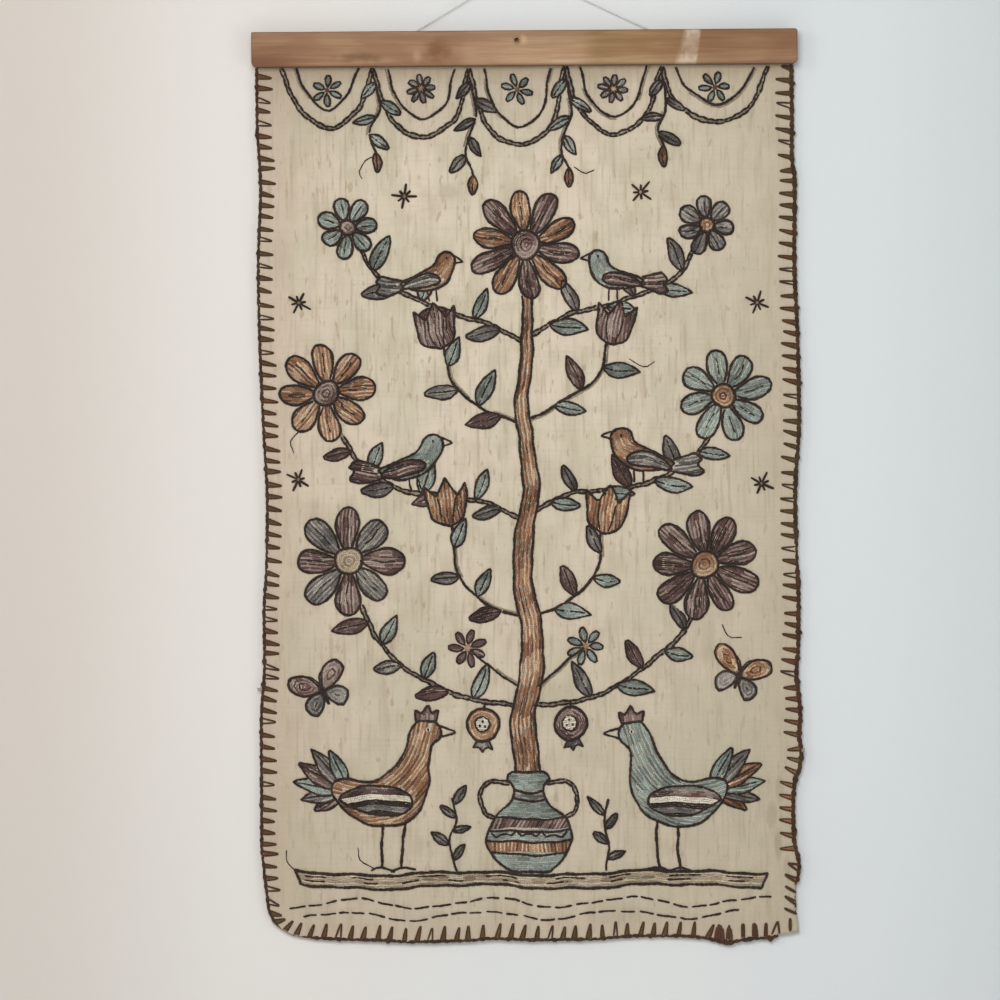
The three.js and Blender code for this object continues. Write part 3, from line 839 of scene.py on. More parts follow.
def put(points, at, scale=1.0, turn=0.0, flip=False):
    """A motif's own points, placed on the cloth."""
    p = np.asarray(points, float) * scale
    if flip:
        p = p * (-1, 1)
    c, s = math.cos(math.radians(turn)), math.sin(math.radians(turn))
    p = p @ np.array([[c, s], [-s, c]])
    return np.asarray(at, float) + p * (1, -1)


def circle(at, radius):
    angle = np.arange(0, 2 * math.pi, 0.5)
    return curve(np.asarray(at, float) + radius * np.stack([np.cos(angle), np.sin(angle)], 1), True)


def leaf(at, length, turn, thread="blue_grey", plump=0.4, **look):
    """A pointed leaf with a rib, sewn in rows across it."""
    t = np.linspace(0, 1, 13)
    half = plump * length * 0.5 * np.sin(math.pi * t**0.85) ** 0.9
    edge = np.concatenate([np.stack([half, t * length], 1), np.stack([-half, t * length], 1)[-2:0:-1]])
    outline = put(edge, at, 1, turn)
    clear(outline)
    rib = put([(0, length * 0.04), (0.6, length * 0.45), (0, length * 0.84)], at, 1, turn)
    fill(outline, thread, turn + 90, 1.7, 8.0, **look)
    stem(outline, width=2.3, closed=True)
    stem(curve(rib), width=1.8)


PETAL = curve(
    [(0, 0.22), (-0.17, 0.48), (-0.23, 0.78), (-0.11, 1.0), (0.11, 1.0), (0.23, 0.78), (0.17, 0.48)],
    True,
    0.06,
)


def flower(at, radius, petals=8, thread="plum", heart="rust", turn=0.0, second=None):
    """Striped petals round a coiled heart, every second one in another thread where there is one."""
    clear(circle(at, radius * 0.96))
    for k in range(petals):
        angle = turn + 360 * k / petals
        size = radius * (1 + 0.05 * math.sin(2.3 * k))
        outline = put(PETAL * (8.0 / petals, 1), at, size, angle)
        shade = second if second and k % 2 else thread
        fill(outline, shade, angle + 90, 1.8, 9.0, tones=STREAKED)
        stem(outline, closed=True)
        vein = put([(0, 0.45), (0.02, 0.66), (0, 0.84)], at, size, angle)
        stem(curve(vein), width=1.7)
    disc = circle(at, radius * 0.27)
    clear(disc)
    fill(disc, heart, rings=True, pitch=1.8, length=4.0, tones=STREAKED)
    stem(disc, closed=True, lift=0.5)


def tulip(at, size, turn=0.0, thread="rust"):
    """A hanging cup with three points."""
    cup = curve([(0, 0), (-0.3, 0.16), (-0.4, 0.5), (-0.42, 0.86)], step=0.05)
    right = cup[::-1] * (-1, 1)
    crown = np.array([(0.42, 0.86), (0.22, 0.62), (0.02, 0.98), (-0.2, 0.62), (-0.42, 0.86)])
    edge = put(np.concatenate([right, cup[1:], crown[::-1][1:-1]]), at, size, turn)
    clear(edge)
    guide = put([(-0.1, -0.2), (-0.16, 0.4), (-0.14, 1.1)], at, size, turn)
    fill(edge, thread, guide=curve(guide), pitch=1.8, length=8.0, tones=STREAKED)
    stem(edge, closed=True)
    for lobe in (-0.14, 0.14):
        stem(curve(put([(lobe * 0.6, 0.08), (lobe, 0.3), (lobe * 1.3, 0.6)], at, size, turn)), width=1.9)


def pomegranate(at, size, thread="rust", turn=0.0):
    """A round fruit sewn in rings, with a crown and a window of seeds."""
    edge = circle(put([(0, 0.42)], at, size, turn)[0], 0.42 * size)
    rim = [(-0.16, 0.8), (-0.24, 1.04), (-0.07, 0.93), (0.01, 1.1), (0.1, 0.93), (0.25, 1.03), (0.16, 0.8)]
    crown = put(rim, at, size, turn)
    clear(edge)
    clear(crown)
    fill(crown, "grey", turn + 90, 1.8, 6)
    stem(crown, closed=True, width=2.1)
    fill(edge, thread, rings=True, pitch=1.8, length=6.5, tones=STREAKED)
    stem(edge, closed=True)
    window = circle(put([(0.02, 0.4)], at, size, turn)[0], 0.19 * size)
    clear(window)
    fill(window, "cream", turn, 2.0, 5, tones=(0.3, 0.8))
    stem(window, closed=True, width=1.9)
    for seed in ((-0.05, 0.46), (0.09, 0.44), (0.01, 0.33)):
        knot(put([seed], at, size, turn)[0], 3.0, "plum", tone=0.2)


def daisy(at, radius, petals, turn, heart, thread):
    """A small flower of pointed petals round a knot."""
    loop = curve([(0, 0.2), (-0.18, 0.62), (0, 1), (0.18, 0.62)], True, 0.08)
    for k in range(petals):
        outline = put(loop, at, radius, turn + 360 * k / petals)
        fill(outline, thread, turn + 360 * k / petals + 90, 1.7, 8)
        stem(outline, width=2.0, length=4.0, closed=True)
    knot(at, radius * 0.32, heart)


def star(at, radius, rays=8, turn=0.0):
    for k in range(rays):
        angle = math.radians(turn + 360 * k / rays)
        reach = radius * (1 if k % 2 == 0 else 0.62)
        way = np.array([math.cos(angle), math.sin(angle)])
        sew("dark", [at + way * 1.2], [at + way * reach], 2.5, 0.35)
    knot(at, 3.2, "rust")


class Beast:
    """Places the lines of one animal and sews its parts."""

    def __init__(self, at, scale, flip):
        self.place = (at, scale, 0, flip)

    def line(self, points, closed=False, smooth=True):
        placed = put(points, *self.place)
        return curve(placed, closed) if smooth else placed

    def part(self, outline, thread, **look):
        clear(outline)
        fill(outline, thread, **look)
        stem(outline, closed=True, lift=0.4)


def small_bird(at, scale=1.0, flip=False, thread="blue_grey", wing="grey"):
    b = Beast(at, scale, flip)
    tail = b.line([(-24, 8), (-50, 17), (-58, 9), (-52, 5), (-59, -3), (-50, -7), (-22, 1)], smooth=False)
    b.part(tail, wing, turn=8 if flip else -8, pitch=1.9, length=9, tones=STRIPED)
    body = b.line(
        [(-30, 6), (-16, 14), (-2, 20), (8, 27), (13, 37), (22, 41), (30, 37), (32, 29)]
        + [(28, 18), (21, 8), (9, 0), (-5, -2), (-18, 0)],
        True,
    )
    b.part(body, thread, guide=b.line([(-40, 2), (-10, 17), (10, 28), (20, 48)]), length=9)
    wing_edge = b.line([(-28, 1), (-16, 12), (0, 17), (13, 15), (15, 8), (4, 3), (-12, 1)], True)
    guide = b.line([(-40, 0), (0, 12), (24, 12)])
    b.part(wing_edge, wing, guide=guide, pitch=1.9, length=8, tones=STRIPED)
    stem(b.line([(29, 38), (42, 32), (30, 29)], smooth=False), width=2.1)
    knot(b.line([(22, 34)], smooth=False)[0], 3.0)
    for x in (0, 9):
        stem(b.line([(x, -2), (x + 1, -13)]), width=2.0)


def large_bird(at, scale=1.0, flip=False, thread="rust", plumes="plum"):
    b = Beast(at, scale, flip)
    hand = -1 if flip else 1
    root = b.line([(-40, 78)], smooth=False)[0]
    for k, (length, turn) in enumerate([(40, 122), (47, 102), (52, 82), (54, 62), (52, 43), (44, 25)]):
        shade = (plumes, "grey", "blue_grey")[k % 3]
        leaf(root, length * scale, hand * turn, shade, 0.32, tones=STREAKED)
    body = b.line(
        [(40, 118), (37, 100), (39, 84), (34, 66), (22, 51), (4, 43), (-18, 43), (-38, 53)]
        + [(-52, 70), (-54, 84), (-40, 88), (-24, 84), (-8, 89), (6, 101), (16, 118), (21, 134)]
        + [(31, 144), (43, 143), (50, 135), (49, 126)],
        True,
    )
    back = b.line([(-70, 96), (-44, 84), (-16, 80), (4, 90), (20, 112), (30, 140), (34, 170)])
    b.part(body, thread, guide=back, pitch=1.85, length=10, tones=STREAKED)
    wing_edge = b.line([(-48, 68), (-26, 80), (0, 81), (20, 72), (21, 60), (4, 53), (-20, 54)], True)
    clear(wing_edge)
    for k, shade in enumerate(["dark", "grey", "dark", "cream", "plum", "grey", "dark"]):
        guide = b.line([(-60, 45.6 + 5.4 * k), (-10, 53.6 + 5.4 * k), (30, 49.6 + 5.4 * k)])
        for step in (-2.7, -0.9, 0.9):
            for _, run in follow(wing_edge, beside(guide, step), 400):
                stem(run, shade, 1.9, 7, 0.1, tone=0.4, spread=0.9)
    stem(wing_edge, closed=True, lift=0.5)
    stem(b.line([(49, 138), (65, 131), (49, 127)], smooth=False), width=2.3)
    points = [(27, 143), (24, 154), (32, 149), (37, 159), (42, 149), (49, 154), (46, 142)]
    comb = b.line(points, smooth=False)
    b.part(comb, "plum", turn=90, pitch=1.8, length=6)
    eye = b.line([(38, 134)], smooth=False)[0]
    clear(circle(eye, 4.2))
    knot(eye, 5.6, "cream")
    knot(eye, 2.8, lift=1.9)
    for x, top in ((-6, 43), (14, 47)):
        stem(b.line([(x, top), (x - 1, 24), (x - 3, 2)]), width=3.0)
        stem(b.line([(x - 13, 0), (x - 3, 3), (x + 10, 0)]), width=2.6)


def butterfly(at, scale=1.0, turn=0.0, thread="plum"):
    upper = curve([(1, 4), (10, 20), (26, 24), (30, 12), (18, 2), (3, 0)], True)
    lower = curve([(2, -1), (16, -2), (22, -12), (14, -22), (4, -12)], True)
    for flip in (False, True):
        for k, edge in enumerate((upper, lower)):
            outline = put(edge, at, scale, turn, flip)
            clear(outline)
            fill(outline, thread if k == 0 else "grey", rings=True, length=6, tones=STREAKED)
            stem(outline, closed=True, width=2.1)
    stem(put([(0, 8), (0, -14)], at, scale, turn), width=3.0, lift=0.5)
    for hand in (-1, 1):
        feeler = curve([(0, 8), (4 * hand, 16), (9 * hand, 19)])
        stem(put(feeler, at, scale, turn), width=1.6, length=3.5)


def jug(at, scale=1.0):
    half = curve([(14, 96), (21, 90), (14, 80), (17, 66), (35, 50), (41, 31), (33, 12), (19, 0)])
    edge = np.concatenate([half, half[::-1] * (-1, 1)])
    outline = put(edge, at, scale)
    for flip in (False, True):
        chain(put(curve([(18, 84), (36, 86), (47, 74), (44, 58), (34, 52)]), at, scale, 0, flip), 5.6)
    clear(outline)
    fill(outline, "blue_grey", 0, 1.75, 9)
    for low, high, thread, turn in ((40, 52, "plum", 62), (18, 30, "rust", 90), (70, 78, "grey", 0)):
        band = (edge[:, 1] > low) & (edge[:, 1] < high)
        belt = put(edge[band], at, scale)
        clear(belt)
        fill(belt, thread, turn, 1.8, 7, tones=STREAKED)
        for level in (low, high):
            reach = np.interp(level, half[::-1, 1], half[::-1, 0])
            stem(curve(put([(-reach, level), (0, level - 2.5), (reach, level)], at, scale)), lift=0.45)
    zigzag = [(x, 32 if k % 2 else 38) for k, x in enumerate(np.linspace(-37, 37, 13))]
    stem(put(zigzag, at, scale), length=7, lift=0.45, width=2.1)
    stem(outline, closed=True, lift=0.45)


def sprig(path, size, pitch, thread, line=stem):
    """A stem with leaves left and right of it."""
    line(path, width=2.5)
    points = resample(path, 2.0)
    way = headings(points)
    heading = np.degrees(np.arctan2(-way[:, 0], -way[:, 1]))
    for k, i in enumerate(range(5, len(points) - 2, int(pitch / 2))):
        hand = 1 if k % 2 else -1
        leaf(points[i], size * rng.uniform(0.85, 1.1), heading[i] + hand * 52, thread, 0.38)


# The design: a flowering tree in a jug between two birds, under a garland


def garland():
    """Double swags hung under the batten, with leafy tassels between them."""
    posts = [-228, -140, -48, 44, 136, 238]
    for k, (a, b) in enumerate(zip(posts, posts[1:])):
        deep = (148, 158, 166, 156, 146)[k]
        middle = (a + b) / 2
        chain(curve([(a, 92), (a + 15, deep - 20), (middle, deep), (b - 15, deep - 18), (b, 92)]), 6.2)
        inner = deep - 17
        dip = [(a + 24, inner - 18), (middle, inner), (b - 24, inner - 16)]
        shadowed(curve([(a + 14, 92), *dip, (b - 14, 92)]))
        at = np.array([middle, 112.0])
        if k % 2:
            daisy(at, 15, 8, 11 * k, "rust", "grey")
        else:
            daisy(at, 16, 6, 9 * k, "plum", "blue_grey")
    for k, x in enumerate(posts[1:-1]):
        reach = (74, 96, 90, 70)[k]
        path = curve([(x, 94), (x + 5, 98 + reach * 0.4), (x - 4, 98 + reach * 0.75), (x + 2, 98 + reach)])
        thread = ("blue_grey", "grey", "blue_grey", "grey")[k]
        sprig(path, 25, 18, thread, line=shadowed)
        leaf(path[-1], 21, 180, "rust", 0.4)


def trunk():
    """The trunk tapers upwards between two dark lines, with rows of rust yarn along it."""
    path = curve([(5, 780), (-1, 720), (9, 650), (-1, 570), (8, 490), (0, 420), (6, 350), (4, 300)])
    wide = np.linspace(12.5, 4.2, len(path))
    edge = np.concatenate([beside(path, wide), beside(path, -wide)[::-1]])
    clear(edge)
    fill(edge, "rust", guide=path, pitch=1.9, length=11, width=1.9, tones=STREAKED)
    stem(beside(path, wide), width=2.7)
    stem(beside(path, -wide), width=2.7)


# The branches: their points from the trunk out, and what hangs under each
BRANCHES = [
    [(6, 702), (52, 700), (104, 676), (148, 640), (166, 606)],
    [(2, 706), (-46, 698), (-98, 678), (-140, 640), (-160, 600)],
    [(5, 618), (44, 604), (70, 574), (76, 534)],
    [(4, 622), (-36, 606), (-64, 572), (-68, 526)],
    [(3, 520), (50, 500), (112, 494), (160, 470), (184, 440)],
    [(3, 528), (-46, 506), (-104, 500), (-150, 476), (-178, 436)],
    [(4, 430), (40, 412), (72, 388), (84, 350)],
    [(3, 436), (-38, 418), (-68, 390), (-76, 354)],
    [(4, 352), (44, 330), (96, 316), (146, 296), (168, 262)],
    [(4, 356), (-40, 334), (-92, 318), (-136, 292), (-156, 262)],
]


def tree():
    for k, points in enumerate(BRANCHES):
        path = curve(points)
        if k % 4 in (0, 1):
            chain(path, 6.2)
        else:
            shadowed(path, width=3.0)
        way = resample(path, 27)
        bare = 2 if k < 2 else 1
        for j, at in enumerate(way[bare:-1], bare - 1):
            hand = 1 if (j + k) % 2 else -1
            lean = -38 if points[-1][0] > 0 else 38
            thread = ("blue_grey", "grey", "blue_grey", "plum")[(j + k) % 4]
            leaf(at, 33 + 4 * math.sin(k + j), lean + hand * 62, thread)
    trunk()
    flower((174, 570), 51, 9, "plum", "rust", 8)
    flower((-168, 564), 50, 8, "plum", "tan", 0, "grey")
    tulip((78, 540), 50, -6)
    tulip((-70, 532), 48, 8)
    flower((194, 408), 43, 8, "blue_grey", "rust", 14)
    flower((-188, 402), 45, 8, "rust", "plum", 5)
    tulip((86, 358), 45, -10, "plum")
    tulip((-78, 362), 47, 10, "plum")
    flower((4, 262), 52, 10, "rust", "plum", 6, "plum")
    flower((178, 244), 27, 7, "grey", "rust", 4)
    flower((-166, 244), 28, 7, "blue_grey", "plum", 16)
    for hand, thread in ((1, "blue_grey"), (-1, "plum")):
        twig = curve([(11 * hand + 3, 684), (30 * hand + 2, 670), (56 * hand + 3, 648)])
        shadowed(twig, width=2.6)
        daisy(twig[-1], 19, 7, 12 * hand, "rust", thread)
    for x, turn, thread in ((44, 184, "plum"), (-38, 176, "rust")):
        stem([(x, 700), (x, 708)], length=4.0)
        pomegranate((x, 706), 38, thread, turn)


def ground():
    """An uneven double dark line with tan rows between."""
    top = curve([(-222, 861), (-150, 866), (-60, 863), (30, 867), (120, 863), (232, 867)])
    low = curve([(-216, 874), (-140, 879), (-50, 875), (40, 880), (130, 876), (226, 880)])
    edge = np.concatenate([top, low[::-1]])
    fill(edge, "tan", guide=top, pitch=2.3, length=12, width=1.9, tones=(0.3, 0.9, 0.5), spread=0.9)
    for share in (0.3, 0.62):
        running(top[6:-10] + (0, 12 * share), 1.9, 26 if share < 0.5 else 18, 30)
    stem(top, width=3.2)
    stem(low, width=2.9)
    stem([top[0], low[0]], width=2.6)
    stem([top[-1], low[-1]], width=2.6)


def border():
    """Two dashed waves under the ground line."""
    x = np.linspace(-226, 236, 200)
    running(np.stack([x, 893 + 4.5 * np.sin(x / 21)], 1))
    running(np.stack([x[6:-10], 905 + 4.0 * np.sin(x[6:-10] / 21 + 0.5)], 1), width=2.0)


# Thin tails of yarn left lying on the cloth
LOOSE_TAILS = [
    [(-222, 861), (-230, 853), (-229, 842)], [(-139, 176), (-149, 181), (-156, 191), (-153, 197)],
    [(103, 372), (116, 380), (126, 376)], [(-146, 860), (-158, 852), (-160, 840)],
    [(-214, 440), (-222, 449), (-219, 460)], [(190, 628), (198, 640), (208, 641)],
    [(52, 188), (62, 194), (71, 190)],
]


def loose_tails():
    for points in LOOSE_TAILS:
        stem(curve(points), width=1.1, length=4.0, lift=0.2)


def embroider():
    garland()
    tree()
    small_bird((116, 478), 1.0, True, "rust", "grey")
    small_bird((-108, 484), 1.0, False, "blue_grey", "plum")
    small_bird((92, 303), 0.86, True, "blue_grey", "plum")
    small_bird((-90, 304), 0.86, False, "rust", "grey")
    butterfly((-194, 688), 0.95, 24, "plum")
    butterfly((206, 676), 0.95, -20, "rust")
    for at in ((-214, 316), (226, 318), (-216, 486), (230, 492), (-112, 214), (116, 212)):
        star(np.array(at, float), 12, 8, at[0] % 40)
    ground()
    large_bird((-130, 861), 1.0, False, "rust")
    large_bird((140, 863), 1.0, True, "blue_grey", plumes="rust")
    jug((4, 863), 1.0)
    sprig(curve([(-67, 861), (-72, 836), (-66, 814), (-71, 792)]), 21, 15, "grey")
    sprig(curve([(77, 861), (81, 838), (75, 816), (80, 794)]), 21, 15, "grey")
    border()
    loose_tails()


STITCH_SIDES = 6
# A stitch's height for each millimetre of its width
FLATTEN = 0.62


def stitch_mesh(name, rows, material, profile):
    """One mesh of many stitches, from the rows that sew() collects."""
    start, end = rows[:, 0:2], rows[:, 2:4]
    width, lift, colour = rows[:, 4], rows[:, 5], rows[:, 6:9]
    run = end - start
    length = np.linalg.norm(run, axis=1)
    side = sideways(units(run))
    height = width * FLATTEN
    sides = STITCH_SIDES
    turn = 2 * math.pi * (np.arange(sides) + 0.5) / sides + math.pi / 2
    points = np.empty((len(rows), len(profile), sides, 3))
    strand = np.zeros((len(rows), len(profile), sides, 3))
    for i, (share, size, rise) in enumerate(profile):
        centre = start + run * share
        y = front_face(centre[:, 0], centre[:, 1]) - height * rise - lift * min(1, 2.2 * rise + 1.1)
        for k, angle in enumerate(turn):
            across = side * (math.cos(angle) * width / 2 * size)[:, None]
            points[:, i, k, 0] = centre[:, 0] + across[:, 0]
            points[:, i, k, 2] = -(centre[:, 1] + across[:, 1])
            points[:, i, k, 1] = y + math.sin(angle) * height / 2 * size
        strand[:, i, :, 0] = (length * share * TWISTS_PER_MM)[:, None]
        strand[:, i, :, 1] = np.arange(sides) / sides
    each = len(profile) * sides
    offsets = np.arange(len(rows)) * each
    quads = (tube_quads(len(profile), sides)[None] + offsets[:, None, None]).reshape(-1, 4)
    colour = np.repeat(colour, each, axis=0)
    return yarn_mesh(name, points.reshape(-1, 3), quads, material, colour, strand)


# The stitched rim

# Each side's yarn: the roll's radius, the pitch of its legs on the side and on the lower edge,
# the way they lean, the first one, and the axis and place past which they follow no rule
RIM = {
    "left": {"radius": 1.75, "pitches": (11.5, 12.7), "lean": -1, "first": 8.8, "until": (0, 178)},
    "right": {"radius": 2.35, "pitches": (12.0, 12.0), "lean": 1, "first": 13.2, "until": (1, 850)},
}
RIM_TOP = BATTEN_BOTTOM + 0.2
RIM_STEP = 1.4
# Legs that stand lower than this are the lower edge's
LOWER_EDGE = 920
# How far a leg reaches in from the roll, and how wide it is at its foot
LEG_REACH = 12.0
LEG_FOOT = 4.4
# Where the cloth shows through the legs, and where they crowd at the round corner: the middle's
# x and down, and how far that reaches
OPEN_LEGS = ((262, 805), 75)
CROWDED_LEGS = ((-240, 905), 19)
# The share of legs that are two bare strands
HOLLOW_LEGS = 0.14
# Two plies wound round each other: their size and distance in radii, and how soon they go round
PLY_SIZE = 0.74
PLY_APART = 0.3
PLY_LAY = 13.0
PLY_SIDES = 8
REDDISH, OLIVE, MAROON = (76, 50, 31), (72, 55, 34), (79, 49, 36)
# Where the rim turns maroon: the middle's x and down, how far that reaches, and how much
MAROON_SPOTS = [
    ((266, 702), 27, 1),
    ((-253, 842), 24, 1),
    ((266, 668), 9, 1),
    ((189, 922), 11, 1),
    ((262, 806), 30, 0.8),
]
# Where the roll is thin: the middle's x and down, how far that reaches, and how thin
THIN_ROLL = [(-225, 919.5, 13, 0.75), (261, 892, 17, 0.55), (262, 560, 9, 0.3)]
# Where the roll is thick: the middle's x and down, how far that reaches, and how much thicker
THICK_ROLL = [(190, 930, 9, 0.6), (195, 933, 3, 0.9), (214, 930.6, 3.5, 0.7), (235, 930, 3.5, 0.7)]
# The cluster of stitches near the bare corner, from the roll to their tips, with their widths
CLUSTER = [
    ((181.5, 930.5), (184, 917.5), 3.4), ((184.5, 930.5), (185.4, 915), 3.6),
    ((187.5, 930.5), (187.2, 916), 3.4), ((190, 930.5), (189, 919), 2.6),
    ((192.6, 930.5), (194.2, 918), 2.6), ((195.2, 930.5), (195.2, 915.8), 3),
    ((198, 930.5), (196.6, 919), 2.4),
]
# Stitches that follow no rule, with their widths
LOOSE_STITCHES = [
    ((207.6, 928.6), (207.7, 914.6), 2.5), ((209.6, 928.6), (209.2, 914.4), 2.4),
    ((218, 928.6), (218.4, 914.4), 2.6), ((220.2, 928.6), (219.8, 914), 2.8),
    ((222.4, 928.6), (221, 915.4), 2.4), ((229, 928.6), (230.2, 914.2), 2.6),
    ((231.2, 928.6), (231.2, 914), 2.4), ((236, 925.5), (241.4, 912.6), 2.2),
    ((243.4, 925), (242, 912.4), 2.4), ((253.7, 922.8), (253.8, 909.6), 3.4),
    ((262.4, 96.4), (251, 91.6), 3.2), ((262.4, 93.2), (252, 91.4), 2.6),
    ((260.4, 905.9), (248, 900.1), 3.2), ((259.8, 897.4), (248.6, 888.8), 2.8),
    ((259.6, 893.6), (248.6, 888.4), 2.4), ((259.6, 885.2), (249, 879), 3.2),
    ((260.8, 876), (248.8, 867.8), 3), ((261.6, 872), (249, 867.2), 2.2),
    ((264.2, 866.2), (251.8, 857.4), 2.6), ((263.6, 858.4), (251.6, 857), 2.6),
]
# Tufts of grey fluff caught on the rim, from root to tip
TUFTS = [
    ((-252.6, 688), (-256, 685.2)), ((-252.4, 684.8), (-255.6, 687.4)),
    ((265.8, 750.4), (269, 747)), ((265.6, 747.2), (268.8, 750)),
]
FLUFF = (146, 141, 134)


def near(points, middle, reach):
    """1 at a place on the rim, falling to 0 a few times its reach away."""
    return np.exp(-(((points - np.asarray(middle)) / reach) ** 2).sum(1))


def rim_colour(points):
    """Reddish brown, turning olive or maroon in stretches along the rim."""
    x, down = points[:, 0], points[:, 1]
    along_rim = down + 0.7 * x
    olive = np.clip(0.55 + 0.7 * np.sin(along_rim / 47) + 0.4 * np.sin(along_rim / 19), 0, 1)
    maroon = sum(share * near(points, place, reach) for place, reach, share in MAROON_SPOTS)
    maroon = np.clip(maroon, 0, 1)
    colour = linear(REDDISH) * (1 - olive)[:, None] + linear(OLIVE) * olive[:, None]
    return colour * (1 - maroon)[:, None] + linear(MAROON) * maroon[:, None]


def rim_roll(name, path, way_in, side, material):
    """Two plies of yarn laid along the cloth's edge, with a lump at every other stitch."""
    radius, pitch = RIM[side]["radius"], RIM[side]["pitches"][0]
    count = len(path)
    run = distances(path)
    lumps = np.zeros(count)
    for k, at in enumerate(np.arange(pitch / 2, run[-1], pitch)):
        size = rng.uniform(0.25, 0.75) if k % 2 else rng.uniform(0, 0.3)
        lumps += size * np.exp(-(((run - at) / 2.2) ** 2))
    for x, down, reach, size in THICK_ROLL:
        lumps += size * near(path, (x, down), reach)
    thin = np.ones(count)
    for x, down, reach, share in THIN_ROLL:
        thin -= share * np.clip(1.6 * near(path, (x, down), reach), 0, 1)
    uneven = 1 + 0.07 * np.sin(run / 7.7) + 0.06 * np.sin(run / 3.1)
    thick = radius * thin * (uneven + 0.75 * lumps)
    centre = path + way_in * (radius * (0.92 - 0.3 * lumps))[:, None]
    points, strand, quads = [], [], []
    for ply in (0, 1):
        wind = run / PLY_LAY * 2 * math.pi + ply * math.pi + 0.6 * np.sin(run / 17)
        middle = centre - way_in * (np.cos(wind) * thick * PLY_APART)[:, None]
        y = surface(centre[:, 0], centre[:, 1]) - np.sin(wind) * thick * PLY_APART
        ring, along_yarn = [], []
        for k in range(PLY_SIDES):
            angle = 2 * math.pi * k / PLY_SIDES
            place = middle - way_in * (math.cos(angle) * thick * PLY_SIZE)[:, None]
            ring.append(np.stack([place[:, 0], y - math.sin(angle) * thick * PLY_SIZE, -place[:, 1]], 1))
            along_yarn.append(np.stack([run * 0.4, np.full(count, k / PLY_SIDES), run * 0], 1))
        points.append(np.stack(ring, 1).reshape(-1, 3))
        strand.append(np.stack(along_yarn, 1).reshape(-1, 3))
        quads.append(tube_quads(count, PLY_SIDES) + ply * count * PLY_SIDES)
    shade = rim_colour(path) * (rng.uniform(0.62, 0.9, (count, 1)) + 0.12 * np.sin(run / 5.9)[:, None])
    colour = np.tile(np.repeat(shade, PLY_SIDES, axis=0), (2, 1))
    points, strand, quads = (np.concatenate(parts) for parts in (points, strand, quads))
    return yarn_mesh(name, points, quads, material, colour, strand)


def rim_legs(path, way_in, side):
    """The legs of the blanket stitch: a straight strand, a sloping one and often some between."""
    rim = RIM[side]
    axis, limit = rim["until"]
    run = distances(path)
    forward = headings(path) * rim["lean"]
    rows = []
    at = rim["first"]
    while at < run[-1] - 3:
        i = min(int(np.searchsorted(run, at)), len(path) - 1)
        foot, inner, ahead = path[i], way_in[i], forward[i]
        at += rim["pitches"][1 if foot[1] > LOWER_EDGE else 0] * rng.uniform(0.88, 1.12)
        if foot[axis] > limit:
            continue
        corner = float(near(foot[None], *CROWDED_LEGS)[0])
        reach = 2 * rim["radius"] + LEG_REACH * rng.uniform(0.88, 1.12) * (1 - 0.45 * corner)
        tip = foot + inner * reach + ahead * (rng.uniform(-2.6, 0.4) - 2.5 * corner)
        wide = LEG_FOOT * rng.uniform(0.8, 1.2) * (1 + 0.3 * corner)
        hollow = rng.random() < HOLLOW_LEGS * (1 - corner)
        base = rim_colour(foot[None])[0]
        pale = 1 + 1.3 * float(near(foot[None], *OPEN_LEGS)[0])
        for share in (0.0, 1.0) if hollow else (0.0, 0.3, 0.66, 1.0):
            outer = share in (0.0, 1.0)
            start = foot + inner * rim["radius"] * 1.2 + ahead * (wide * share - 0.6)
            end = tip + ahead * 0.9 * share - inner * rng.uniform(0, 1.2) * (not outer)
            width = rng.uniform(1.65, 2.0) if outer else rng.uniform(1.85, 2.2)
            colour = base * (rng.uniform(0.72, 0.98) if outer else rng.uniform(1.25, 1.8) * pale)
            rows.append(np.concatenate([start, end, [width, 0.35 if outer else 0.1], colour]))
    return rows


def make_rim(material):
    distance = np.arange(RIM_TOP - CLOTH_TOP, LEFT_RUN + CORNER_ARC + BOTTOM_RUN, RIM_STEP)
    left = left_or_bottom(distance)
    left = left[(left[:, 0] <= RIM_END["bottom_x"]) | (left[:, 1] < 900)]
    right = right_side(np.arange(RIM_TOP, RIM_END["right_down"], RIM_STEP) - CLOTH_TOP)
    edges = ((left, inwards(left, 1), "left"), (right, inwards(right, -1), "right"))
    rolls = [rim_roll(f"edging_{edge[2]}_yarn", *edge, material) for edge in edges]
    rows = [row for edge in edges for row in rim_legs(*edge)]
    for stitches, light in ((LOOSE_STITCHES, 0.95), (CLUSTER, 1.15)):
        for start, end, width in stitches:
            colour = rim_colour(np.array([start], float))[0] * light
            rows.append(np.concatenate([start, end, [width, 0.3], colour]))
    for start, end in TUFTS:
        rows.append(np.concatenate([start, end, [1.6, 1.2], linear(FLUFF)]))
    return rolls, stitch_mesh("edging_legs", np.array(rows), material, LINE_PROFILE)


# Cord and its fittings

# The route over the nail, as the solid has it, in millimetres
CORD_ROUTE = [
    (-110.99, -4.4, -62.51), (-99, -4.4, -55.4), (-84, -4.4, -46.5), (-68, -4.4, -37),
    (-52, -4.4, -27.5), (-36, -4.4, -18), (-20, -4.4, -8.5), (-8, -4.4, -1.38), (-3.6, -4.4, 1.23),
    (-1.55, -4.4, 2.38), (-0.6, -4.4, 2.79), (0.3, -4.4, 2.88), (1.25, -4.4, 2.6), (3.6, -4.4, 1.5),
    (8.5, -4.4, -0.82), (22, -4.4, -7.21), (40, -4.4, -15.73), (58, -4.4, -24.25),
    (76, -4.4, -32.77), (94, -4.4, -41.29), (110, -4.4, -48.86), (126, -4.4, -56.43),
    (139.44, -4.4, -62.79),
]
CORD_DIAMETER = 1.1
# The winding round each tack: its radius, turns, width, points and sides, and the cord's radius in it
HITCH_RING = 2.35
HITCH_TURNS = 2.6
HITCH_WIDTH = 1.1
HITCH_POINTS = 90
HITCH_SIDES = 8
HITCH_CORD = 0.5


